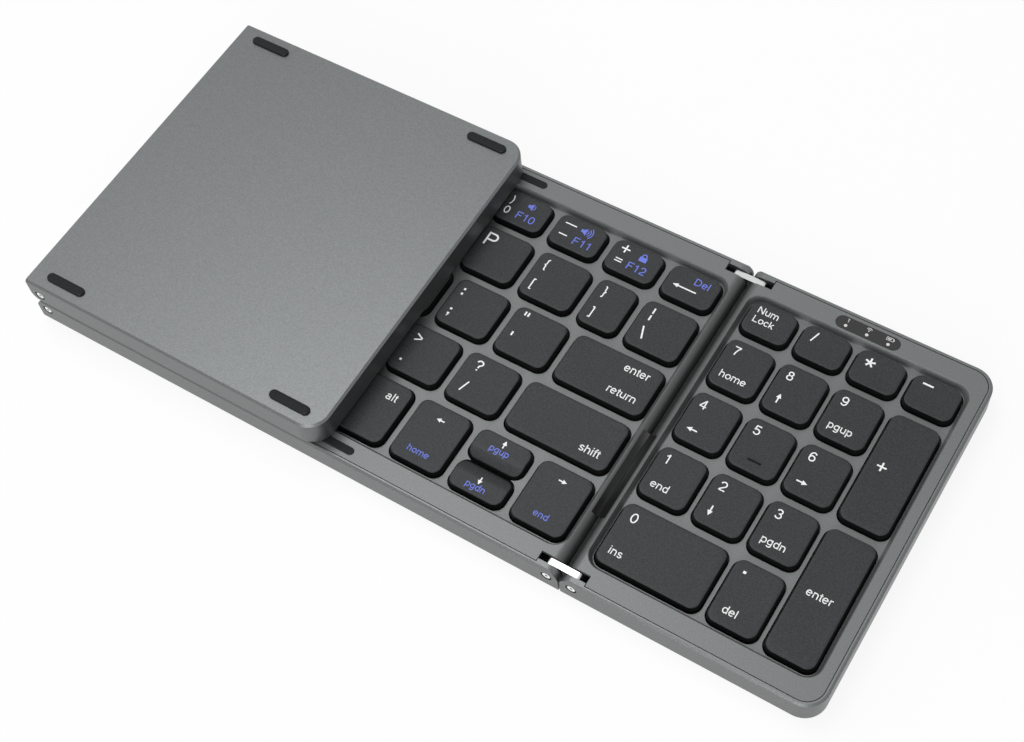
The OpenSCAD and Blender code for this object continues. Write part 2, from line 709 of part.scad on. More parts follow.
// Knob of the power switch, at the left end of its slot
module power_switch() {
    color(rubber) at_pad()
        translate([knob_x - knob_travel/2 - knob_w/2, half_d - wall_t - knob_root, knob_z - knob_h/2])
            cube([knob_w, wall_t + knob_root - knob_sink, knob_h]);
}

module left_case() { color(case_grey) at_left() case_shell(left_w, false, true); }
module left_deck() {
    color(case_grey) at_left() deck_plate(left_w, false, true, left_keys, free_margin, left_field_w);
}
module left_plate() { at_left() support_plate(left_w, inner_x); }
module left_domes() { at_left() dome_sheet(left_w, inner_x, left_keys); }
module left_keys_row0() { at_left() keys_of(left_row(0)); }
module left_keys_row1() { at_left() keys_of(left_row(1)); }
module left_keys_row2() { at_left() keys_of(left_row(2)); }
module left_keys_row3() { at_left() keys_of(left_row(3)); }
module left_keys_row4() { at_left() keys_of(left_row(4)); }
module left_feet() { at_left() feet(left_w); }
module left_hinge_pins() { at_left() hinge_pins(left_w, false, true); }
module left_magnets() { at_left() magnets([left_magnet_x]); }

// The links start at the middle panel's pins. The left pair stands up, the right pair lies flat.
module at_left_link() { translate([mid_x + edge_r, 0, rim_z - edge_r]) rotate([0, -90, 0]) children(); }
module at_right_link() { translate([mid_x + mid_w - edge_r, 0, rim_z - edge_r]) children(); }
module left_links() { color(steel) at_left_link() link_pair(); }
module right_links() { color(steel) at_right_link() link_pair(); }
// Rubber cover of the flat cable: pressed flat in the closed seam, wedge shaped in the open one
module left_cable_cover() {
    color(rubber) at_left_link() translate([pin_pitch/2 - cover_flat/2, cover_y - cover_l/2, -edge_r])
        cube([cover_flat, cover_l, 2*edge_r]);
}
module right_cable_cover() {
    color(rubber) at_right_link() translate([pin_pitch/2, cover_y + cover_l/2, 0]) rotate([90, 0, 0])
        linear_extrude(cover_l) difference() {
            translate([-cover_half, 1]) square([2*cover_half, edge_r - cover_drop - 1]);
            for (x = [-1, 1]) translate([x*pin_pitch/2, 0]) circle(edge_r + cover_gap);
        }
}

mid_case();
mid_deck();
mid_plate();
mid_domes();
mid_keys_row0();
mid_keys_row1();
mid_keys_row2();
mid_keys_row3();
mid_keys_row4();
mid_feet();
mid_bumpers();
mid_hinge_pins();
mid_magnets();
battery();
pad_case();
pad_deck();
pad_plate();
pad_domes();
key_num_lock();
key_divide();
key_times();
key_minus();
key_7();
key_8();
key_9();
key_plus();
key_4();
key_5();
key_6();
key_1();
key_2();
key_3();
key_enter();
key_0();
key_point();
pad_feet();
pad_hinge_pins();
pad_magnets();
status_window();
main_board();
charge_socket();
power_switch();
left_case();
left_deck();
left_plate();
left_domes();
left_keys_row0();
left_keys_row1();
left_keys_row2();
left_keys_row3();
left_keys_row4();
left_feet();
left_hinge_pins();
left_magnets();
left_links();
right_links();
left_cable_cover();
right_cable_cover();
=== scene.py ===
"""Looks of the folding keyboard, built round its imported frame.

Lengths in this script are in millimetres in a panel's own frame: X from the panel's left edge,
Y from its middle towards the rear, Z up from its rim. A Panel turns them into metres in the
object's frame. The left panel lies folded, face down, so its frame is turned half round.
"""
import json
import math

import bmesh
import bpy
import numpy as np
from mathutils import Matrix, Vector

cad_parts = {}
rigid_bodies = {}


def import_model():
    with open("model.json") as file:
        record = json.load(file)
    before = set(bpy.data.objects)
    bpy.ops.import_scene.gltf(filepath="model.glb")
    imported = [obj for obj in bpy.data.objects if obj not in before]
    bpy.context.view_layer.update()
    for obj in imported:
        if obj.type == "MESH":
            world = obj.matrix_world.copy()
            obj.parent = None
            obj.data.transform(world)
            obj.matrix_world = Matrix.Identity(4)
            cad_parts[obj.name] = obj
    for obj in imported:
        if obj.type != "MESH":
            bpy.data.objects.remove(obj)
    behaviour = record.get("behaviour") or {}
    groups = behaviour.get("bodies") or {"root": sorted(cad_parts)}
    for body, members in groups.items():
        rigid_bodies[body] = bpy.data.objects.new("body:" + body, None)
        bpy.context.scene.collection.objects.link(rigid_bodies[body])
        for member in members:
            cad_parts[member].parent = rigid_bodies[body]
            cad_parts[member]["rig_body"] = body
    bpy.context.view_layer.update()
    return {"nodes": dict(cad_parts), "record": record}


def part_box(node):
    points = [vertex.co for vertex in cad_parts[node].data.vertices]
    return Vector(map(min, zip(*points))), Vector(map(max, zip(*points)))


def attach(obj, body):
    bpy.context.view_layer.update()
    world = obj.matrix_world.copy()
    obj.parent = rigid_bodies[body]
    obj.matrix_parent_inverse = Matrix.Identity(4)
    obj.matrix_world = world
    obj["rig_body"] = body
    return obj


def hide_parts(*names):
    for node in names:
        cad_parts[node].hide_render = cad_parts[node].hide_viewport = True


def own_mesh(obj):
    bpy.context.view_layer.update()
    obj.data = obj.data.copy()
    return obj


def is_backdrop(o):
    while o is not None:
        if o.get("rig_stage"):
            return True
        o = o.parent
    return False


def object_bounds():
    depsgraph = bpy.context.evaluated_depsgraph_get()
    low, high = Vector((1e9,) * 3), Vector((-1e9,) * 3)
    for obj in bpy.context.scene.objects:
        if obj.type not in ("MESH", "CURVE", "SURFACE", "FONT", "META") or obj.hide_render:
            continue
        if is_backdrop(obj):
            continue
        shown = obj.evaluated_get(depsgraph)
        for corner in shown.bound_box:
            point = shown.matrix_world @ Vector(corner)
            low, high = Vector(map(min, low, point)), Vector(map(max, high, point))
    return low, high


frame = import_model()
MM = 0.001


class Panel:
    """A panel's own frame. Left edge, rim and middle come from its case's box."""

    def __init__(self, case, body, folded=False):
        low, high = (np.array(c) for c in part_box(case))
        self.body = body
        self.width = (high[0] - low[0]) / MM
        self.depth = (high[1] - low[1]) / MM
        self.height = (high[2] - low[2]) / MM
        middle = (low[1] + high[1]) / 2
        self.turn = np.array([-1, 1, -1]) if folded else np.array([1, 1, 1])
        self.origin = np.array([high[0], middle, low[2]]) if folded else np.array([low[0], middle, high[2]])

    def world(self, points):
        """Millimetres of this panel to metres of the object."""
        return self.origin + np.asarray(points, float) * self.turn * MM

    def local(self, points):
        """Metres of the object to millimetres of this panel."""
        return (np.asarray(points, float) - self.origin) / MM * self.turn


MIDDLE = Panel("mid_case", "middle_panel")
PAD = Panel("pad_case", "pad_panel")
LEFT = Panel("left_case", "left_panel", folded=True)

# Key sizes, the same as in the solids
KEY_DRAFT = 0.4
KEY_R = 2.3
KEY_LOW = -3.2
KEY_TOP = -0.1
WEB_Z = -2.0

# The rolled edge and the dish of a key's top, the bend of a half key, and how clear of it the printing lies
KEY_EDGE = 0.34
KEY_DISH = 0.07
HALF_KEY_DROP = 1.7
HALF_KEY_FLAT = 0.1
KEY_SHADE_RINGS = 4
LEGEND_LIFT = 0.012


# Materials

def grey(value, tint=(1, 1, 1)):
    """Linear colour of a screen value from 0 to 255, with a tint."""
    c = value / 255
    c = c / 12.92 if c <= 0.04045 else ((c + 0.055) / 1.055) ** 2.4
    return (c * tint[0], c * tint[1], c * tint[2], 1)


class Finish:
    """A material being made: its Principled shader and a few helpers for patterns."""

    def __init__(self, name, color, roughness, metallic=0.0, **sockets):
        self.material = bpy.data.materials.new(name)
        self.material.use_nodes = True
        self.tree = self.material.node_tree
        self.shader = self.tree.nodes["Principled BSDF"]
        self.shader.inputs["Base Color"].default_value = color
        self.shader.inputs["Roughness"].default_value = roughness
        self.shader.inputs["Metallic"].default_value = metallic
        for socket, value in sockets.items():
            self.shader.inputs[socket.replace("_", " ")].default_value = value
        self.coordinates = self.tree.nodes.new("ShaderNodeTexCoord").outputs["Object"]

    def noise(self, scale, detail=2.0, stretch=None):
        """Noise over the object, with that many waves per metre."""
        node = self.tree.nodes.new("ShaderNodeTexNoise")
        node.inputs["Scale"].default_value = scale
        node.inputs["Detail"].default_value = detail
        source = self.coordinates
        if stretch:
            mapping = self.tree.nodes.new("ShaderNodeMapping")
            mapping.inputs["Scale"].default_value = stretch
            self.tree.links.new(source, mapping.inputs["Vector"])
            source = mapping.outputs["Vector"]
        self.tree.links.new(source, node.inputs["Vector"])
        return node.outputs["Fac"]

    def spread(self, factor, low, high, start=0.3, end=0.7):
        """A number that runs from low to high while factor runs from start to end."""
        node = self.tree.nodes.new("ShaderNodeMapRange")
        for socket, value in (("From Min", start), ("From Max", end), ("To Min", low), ("To Max", high)):
            node.inputs[socket].default_value = value
        self.tree.links.new(factor, node.inputs["Value"])
        return node.outputs["Result"]

    def two_tone(self, factor, dark, light, start=0.3, end=0.7):
        """Base colour between dark and light."""
        node = self.tree.nodes.new("ShaderNodeValToRGB")
        node.color_ramp.elements[0].position, node.color_ramp.elements[1].position = start, end
        node.color_ramp.elements[0].color, node.color_ramp.elements[1].color = dark, light
        self.tree.links.new(factor, node.inputs["Fac"])
        self.tree.links.new(node.outputs["Color"], self.shader.inputs["Base Color"])

    def math(self, operation, *terms):
        """One sum over numbers and sockets."""
        node = self.tree.nodes.new("ShaderNodeMath")
        node.operation = operation
        for socket, term in zip(node.inputs, terms):
            if isinstance(term, float):
                socket.default_value = term
            else:
                self.tree.links.new(term, socket)
        return node.outputs[0]

    def roughness(self, value):
        self.tree.links.new(value, self.shader.inputs["Roughness"])

    def bump(self, height, distance, strength=1.0):
        """Relief of the surface: height 0 to 1 stands for that distance in metres."""
        node = self.tree.nodes.new("ShaderNodeBump")
        node.inputs["Distance"].default_value = distance
        node.inputs["Strength"].default_value = strength
        self.tree.links.new(height, node.inputs["Height"])
        self.tree.links.new(node.outputs["Normal"], self.shader.inputs["Normal"])


METAL_TINT, KEY_TINT, RUBBER_TINT = (0.955, 1.0, 1.01), (0.93, 1.0, 1.07), (0.94, 1.0, 1.05)
CASE_METALLIC, DECK_METALLIC = 0.82, 0.3
GRIT_WAVES, GRIT_RELIEF = 3600, 0.000006
# Painted shade down the decks' rounded hinge edges: the share of their tone that is left near a seam, how far off the
# seam the darkening starts, and where it is full. SEAMS_X are the seams' places along X.
SEAM_PAINTED_SHADE, EDGE_START, EDGE_DARK = 0.3, 3.3, 1.2
SEAMS_X = (float(MIDDLE.origin[0]), float(MIDDLE.origin[0] + PAD.origin[0]) / 2 + MIDDLE.width * MM / 2)


def blasted(name, dark, light, metallic):
    """Dark grey metal, blasted with fine grit and dyed. Its tone and its relief follow the same fine noise."""
    f = Finish(name, grey(light, METAL_TINT), 0.4, metallic)
    grit = f.noise(GRIT_WAVES, 3)
    f.two_tone(grit, grey(dark, METAL_TINT), grey(light, METAL_TINT), 0.35, 0.65)
    f.roughness(f.spread(f.noise(2500, 2), 0.38, 0.42))
    f.bump(grit, GRIT_RELIEF)
    return f


def satin_deck_painted_shade():
    """Satin finish of the decks, less like a mirror than the cases, with painted shade down the rounded hinge edges:
    the tone is scaled down to the painted shade's share from EDGE_START to EDGE_DARK millimetres off the nearest seam."""
    f = blasted("satin_deck_painted_shade", 100, 113, DECK_METALLIC)
    axes = f.tree.nodes.new("ShaderNodeSeparateXYZ")
    f.tree.links.new(f.coordinates, axes.inputs[0])
    away = [f.math("ABSOLUTE", f.math("SUBTRACT", axes.outputs["X"], seam_x)) for seam_x in SEAMS_X]
    shade = f.spread(f.math("MINIMUM", *away), SEAM_PAINTED_SHADE, 1, EDGE_DARK * MM, EDGE_START * MM)
    color = f.tree.nodes.new("ShaderNodeVectorMath")
    color.operation = "SCALE"
    f.tree.links.new(f.shader.inputs["Base Color"].links[0].from_socket, color.inputs["Vector"])
    f.tree.links.new(shade, color.inputs["Scale"])
    f.tree.links.new(color.outputs["Vector"], f.shader.inputs["Base Color"])
    return f.material


def key_plastic():
    """Charcoal plastic with a fine spark-eroded texture."""
    f = Finish("key_plastic", grey(38), 0.45, Specular_IOR_Level=0.26)
    grain = f.noise(3000, 4)
    f.two_tone(grain, grey(35, KEY_TINT), grey(54, KEY_TINT), 0.36, 0.7)
    f.bump(grain, 0.00002)
    return f.material


def key_side_painted_shade():
    """Smooth side of a key, near-black: darker than the key's top by painted shade."""
    f = Finish("key_side_painted_shade", grey(12), 0.4, Specular_IOR_Level=0.1)
    f.bump(f.noise(3000, 2), 0.000006)
    return f.material


def legend_ink(name, color):
    """Printed ink, slightly uneven."""
    f = Finish(name, color, 0.5, Specular_IOR_Level=0.3)
    f.bump(f.noise(9000, 2), 0.000004)
    return f.material


def dark_rubber(name, shade, roughness=0.6, shine=0.1):
    """Matt dark rubber with a fine grain."""
    f = Finish(name, grey(shade), roughness, Specular_IOR_Level=shine)
    grain = f.noise(3800, 3)
    f.two_tone(grain, grey(shade * 0.85, RUBBER_TINT), grey(shade * 1.2, RUBBER_TINT))
    f.bump(grain, 0.00003)
    return f.material


def bright_steel(name, shade):
    """Plated steel with faint drawn lines."""
    f = Finish(name, grey(shade), 0.22, 1.0)
    lines = f.noise(1500, 3, stretch=(0.2, 6, 6))
    f.roughness(f.spread(lines, 0.16, 0.34))
    f.bump(lines, 0.000004)
    return f.material


def plain_steel():
    """Cold rolled sheet and magnets inside the cases."""
    f = Finish("plain_steel", grey(160), 0.4, 1.0)
    f.roughness(f.spread(f.noise(600, 4, stretch=(1, 8, 1)), 0.3, 0.5))
    return f.material


def dome_rubber():
    """Milky rubber of the dome sheets."""
    f = Finish("dome_rubber", grey(190, (1, 1, 0.96)), 0.6)
    f.bump(f.noise(1500, 2), 0.00001)
    return f.material


def smoked_window():
    """Glossy dark plastic of the status window."""
    f = Finish("smoked_window", grey(46), 0.16, Specular_IOR_Level=0.35)
    f.roughness(f.spread(f.noise(700, 2), 0.12, 0.2))
    return f.material


def solder_mask():
    """Green lacquer of the circuit board."""
    f = Finish("solder_mask", (0.012, 0.09, 0.035, 1), 0.35)
    f.two_tone(f.noise(500, 1), (0.008, 0.07, 0.03, 1), (0.02, 0.12, 0.045, 1))
    return f.material


def cell_foil():
    """Creased foil round the battery."""
    f = Finish("cell_foil", grey(120, (0.8, 0.9, 1.2)), 0.3, 0.4)
    f.bump(f.noise(300, 3), 0.00005)
    return f.material


METAL = blasted("blasted_metal", 101, 114, CASE_METALLIC).material
DECK = satin_deck_painted_shade()
KEY_FACE = key_plastic()
KEY_SIDE_SHADE = key_side_painted_shade()
WHITE_INK = legend_ink("white_ink", grey(240))
BLUE_INK = legend_ink("blue_ink", (0.15, 0.2, 0.7, 1))
GREY_INK = legend_ink("grey_ink", grey(212))
RUBBER = dark_rubber("dark_rubber", 35)
# The dark seam rubber is the cable cover's own colour; feet, bumpers and pin heads also use it to paint shadow.
SEAM_RUBBER_AND_SHADE = dark_rubber("seam_rubber_and_shade", 13, 0.4, 0.3)
STEEL = bright_steel("bright_steel", 198)
PIN_STEEL = bright_steel("pin_steel", 250)
SHEET_STEEL = plain_steel()
DOME = dome_rubber()
WINDOW = smoked_window()
BOARD = solder_mask()
FOIL = cell_foil()

FINISH_OF_SLOT = {
    "shell": METAL, "keycaps": KEY_FACE, "rubber": RUBBER, "steel": STEEL, "plate": SHEET_STEEL,
    "dome_rubber": DOME, "window": WINDOW, "board": BOARD, "socket": STEEL, "cell": FOIL, "knob": RUBBER}
for entry in frame["record"]["subparts"]:
    node = frame["nodes"][entry["node"]]
    node.data.materials.clear()
    node.data.materials.append(DECK if entry["node"].endswith("deck") else FINISH_OF_SLOT[entry["material_slot"]])


# Meshes. A shape that ends in a point does so in a ring of radius POLE.

POLE, CLOSE = 0.001, 0.004


def close_poles(mesh):
    """Points closer than CLOSE become one, which closes the poles of turned shapes and the seams of full rings."""
    edit = bmesh.new()
    edit.from_mesh(mesh)
    bmesh.ops.remove_doubles(edit, verts=edit.verts, dist=CLOSE * MM)
    edit.to_mesh(mesh)
    edit.free()
    mesh.update()


def add_piece(name, points, faces, materials, panel, body=None, face_material=None, slot=None, smooth=True):
    """A new mesh from points in a panel's millimetres. It rides on the panel's body or on another one."""
    mesh = bpy.data.meshes.new(name)
    mesh.from_pydata(panel.world(points).tolist(), [], [list(f) for f in faces])
    for m in materials:
        mesh.materials.append(m)
    if face_material is not None:
        mesh.polygons.foreach_set("material_index", np.asarray(face_material, np.int32))
    mesh.polygons.foreach_set("use_smooth", np.full(len(mesh.polygons), smooth))
    close_poles(mesh)
    piece = bpy.data.objects.new(name, mesh)
    bpy.context.scene.collection.objects.link(piece)
    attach(piece, body or panel.body)
    return piece


def join(*parts):
    """Several (points, faces) as one."""
    points, faces, start = [], [], 0
    for p, f in parts:
        points.append(p)
        faces += [[i + start for i in face] for face in f]
        start += len(p)
    return np.concatenate(points), faces


def join_parts(parts):
    """Several (points, faces, face materials) as one."""
    return *join(*[part[:2] for part in parts]), [m for part in parts for m in part[2]]


def rounded_outline(width, depth, radius, steps=7, parts=1):
    """Closed outline of a rounded rectangle about the origin, and its outward normals.
    Each corner is a quarter circle about its own centre; the straight sides join the quarters in equal parts."""
    turn = np.linspace(0, math.pi / 2, steps)
    share = np.linspace(0, 1, parts + 1)[1:-1, None]
    centres = np.array([[1, 1], [-1, 1], [-1, -1], [1, -1]]) * [width / 2 - radius, depth / 2 - radius]
    points, normals = [], []
    for k in range(4):
        angle = turn + k * math.pi / 2
        normal = np.stack([np.cos(angle), np.sin(angle)], 1)
        side = centres[k] * (1 - share) + centres[(k + 1) % 4] * share
        points += [centres[k] + radius * normal, side + radius * normal[-1]]
        normals += [normal, np.repeat(normal[-1:], len(side), 0)]
    return np.concatenate(points), np.concatenate(normals)


def ring_faces(rings, count):
    """Quads between neighbouring rings of count points, rings counted from the lowest."""
    i, j = np.meshgrid(np.arange(rings - 1), np.arange(count), indexing="ij")
    k = (j + 1) % count
    return np.stack([i * count + j, i * count + k, (i + 1) * count + k, (i + 1) * count + j], -1).reshape(-1, 4)


def solids_of(node, panel):
    """Boxes of a CAD node's separate solids in a panel's millimetres, as (low, high).
    Corners at one place are one point, and a label spreads along the edges until it stays the same."""
    mesh = frame["nodes"][node].data
    co = np.empty(len(mesh.vertices) * 3)
    mesh.vertices.foreach_get("co", co)
    co = panel.local(co.reshape(-1, 3))
    _, point = np.unique(np.round(co, 3), axis=0, return_inverse=True)
    point = point.ravel()
    edges = np.empty(len(mesh.edges) * 2, np.int32)
    mesh.edges.foreach_get("vertices", edges)
    a, b = point[edges.reshape(-1, 2)].T
    label = np.arange(point.max() + 1)
    while True:
        low = np.minimum(label[a], label[b])
        new = label.copy()
        np.minimum.at(new, a, low)
        np.minimum.at(new, b, low)
        new = new[new]
        if (new == label).all():
            break
        label = new
    group = label[point]
    return [(co[group == g].min(0), co[group == g].max(0)) for g in np.unique(group)]


class Key:
    """A key: the middle and the size of its top, in its panel's millimetres."""

    def __init__(self, low, high):
        self.x, self.y = (low[0] + high[0]) / 2, (low[1] + high[1]) / 2
        self.w, self.d = high[0] - low[0] - 2 * KEY_DRAFT, high[1] - low[1] - 2 * KEY_DRAFT
        self.left, self.top = self.x - self.w / 2, self.y + self.d / 2
        self.slope = 0

    def height(self, x, y):
        """Height of the key's top at a place: a shallow dish, lowest in the middle,
        and for a half key a bend down towards its partner."""
        u, v = (x - self.x) / (self.w / 2), (y - self.y) / (self.d / 2)
        dish = KEY_DISH * np.clip(1 - u * u, 0, 1) * np.clip(1 - v * v, 0, 1)
        bend = HALF_KEY_DROP * np.clip(self.slope * v - HALF_KEY_FLAT, 0, 1) ** 2 if self.slope else 0
        return KEY_TOP - dish - bend


def keycap(key):
    """Surface of a keycap: a profile carried round the key's rounded outline.
    The profile climbs the drafted side, turns over the top edge as a quarter circle and shrinks to the middle."""
    outline, normal = rounded_outline(key.w, key.d, KEY_R, parts=6)
    turn = np.linspace(0, math.pi / 2, 6)
    draft = np.array([-KEY_DRAFT, -KEY_DRAFT])
    inset = np.concatenate([draft, KEY_EDGE * (1 - np.cos(turn))])
    z = np.concatenate([[KEY_LOW, WEB_Z], KEY_TOP - KEY_EDGE + KEY_EDGE * np.sin(turn)])
    rings = [np.c_[outline - normal * i, np.full(len(outline), h)] for i, h in zip(inset, z)]
    rim = rings[-1][:, :2]
    for share in (0.93, 0.8, 0.6, 0.4, 0.2, POLE / 10):
        rings.append(np.c_[rim * share, np.full(len(rim), KEY_TOP)])
    points = np.concatenate(rings)
    points[:, :2] += [key.x, key.y]
    on_top = points[:, 2] > WEB_Z + 0.01
    points[on_top, 2] += key.height(points[on_top, 0], points[on_top, 1]) - KEY_TOP
    count = len(outline)
    faces = ring_faces(len(rings), count)
    # The bottom, the side and the lower part of the edge's turn take the near-black plastic, which paints the shade on
    # the keys' sides.
    side = np.repeat(np.arange(len(rings) - 1), count) < KEY_SHADE_RINGS
    faces = [list(reversed(range(count)))] + faces.tolist()
    return points, faces, np.concatenate([[1], side.astype(int)])


def keys_of(node, panel):
    """The keys of a CAD node, from left to right, an upper half key before its lower one."""
    keys = [Key(low, high) for low, high in solids_of(node, panel)]
    keys.sort(key=lambda k: (round(k.x), -k.y))
    for upper, lower in zip(keys, keys[1:]):
        if abs(upper.x - lower.x) < 1:
            upper.slope, lower.slope = -1, 1
    return keys


def body_of(node):
    return frame["nodes"][node]["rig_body"]


def add_keys(node, panel):
    keys = keys_of(node, panel)
    points, faces, marks = join_parts([keycap(k) for k in keys])
    piece = add_piece("caps_" + node, points, faces, [KEY_FACE, KEY_SIDE_SHADE], panel, body_of(node), marks, "keycaps")
    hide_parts(node)
    return keys


PAD_NODES = ["key_num_lock", "key_divide", "key_times", "key_minus", "key_7", "key_8", "key_9", "key_plus",
             "key_4", "key_5", "key_6", "key_1", "key_2", "key_3", "key_enter", "key_0", "key_point"]
pad_keys = {node: add_keys(node, PAD) for node in PAD_NODES}
middle_keys = {f"mid_keys_row{r}": add_keys(f"mid_keys_row{r}", MIDDLE) for r in range(5)}
left_keys = {f"left_keys_row{r}": add_keys(f"left_keys_row{r}", LEFT) for r in range(5)}


# Legends. A mark is (what, left, base, height, ink): from the key's left edge, or from its right edge where
# left is negative, then from its top edge down to the foot of the letters, in millimetres.

WHITE, BLUE = 0, 1
LETTER_CAP, WIDE_CAP, WORD_CAP, DIGIT_CAP, TOP_ROW_CAP = 4.0, 2.2, 2.05, 2.55, 2.3

# Letters are strokes of one width. A glyph is its advance, then its strokes along their middle lines, with a
# capital one unit high. A stroke is a chain of points (x, y) and of arcs (x, y, rx, ry, from, to) in degrees.

STROKE = 0.128
STROKE_STEP = 0.2
X_TOP = 0.73


def stem(x, low=0, high=1):
    return [(x, low), (x, high)]


def ring(x, y, rx, ry):
    return [(x, y, rx, ry, 0, 360)]


def dot(x, low=0):
    return stem(x, low, low + 0.13)


def shoulder(x, right):
    """Arch of n, m and h, from a stem to the next leg."""
    r = (right - x) / 2
    return [(x + r, X_TOP - 0.06 - r, r, r, 180, 0), (right, 0)]


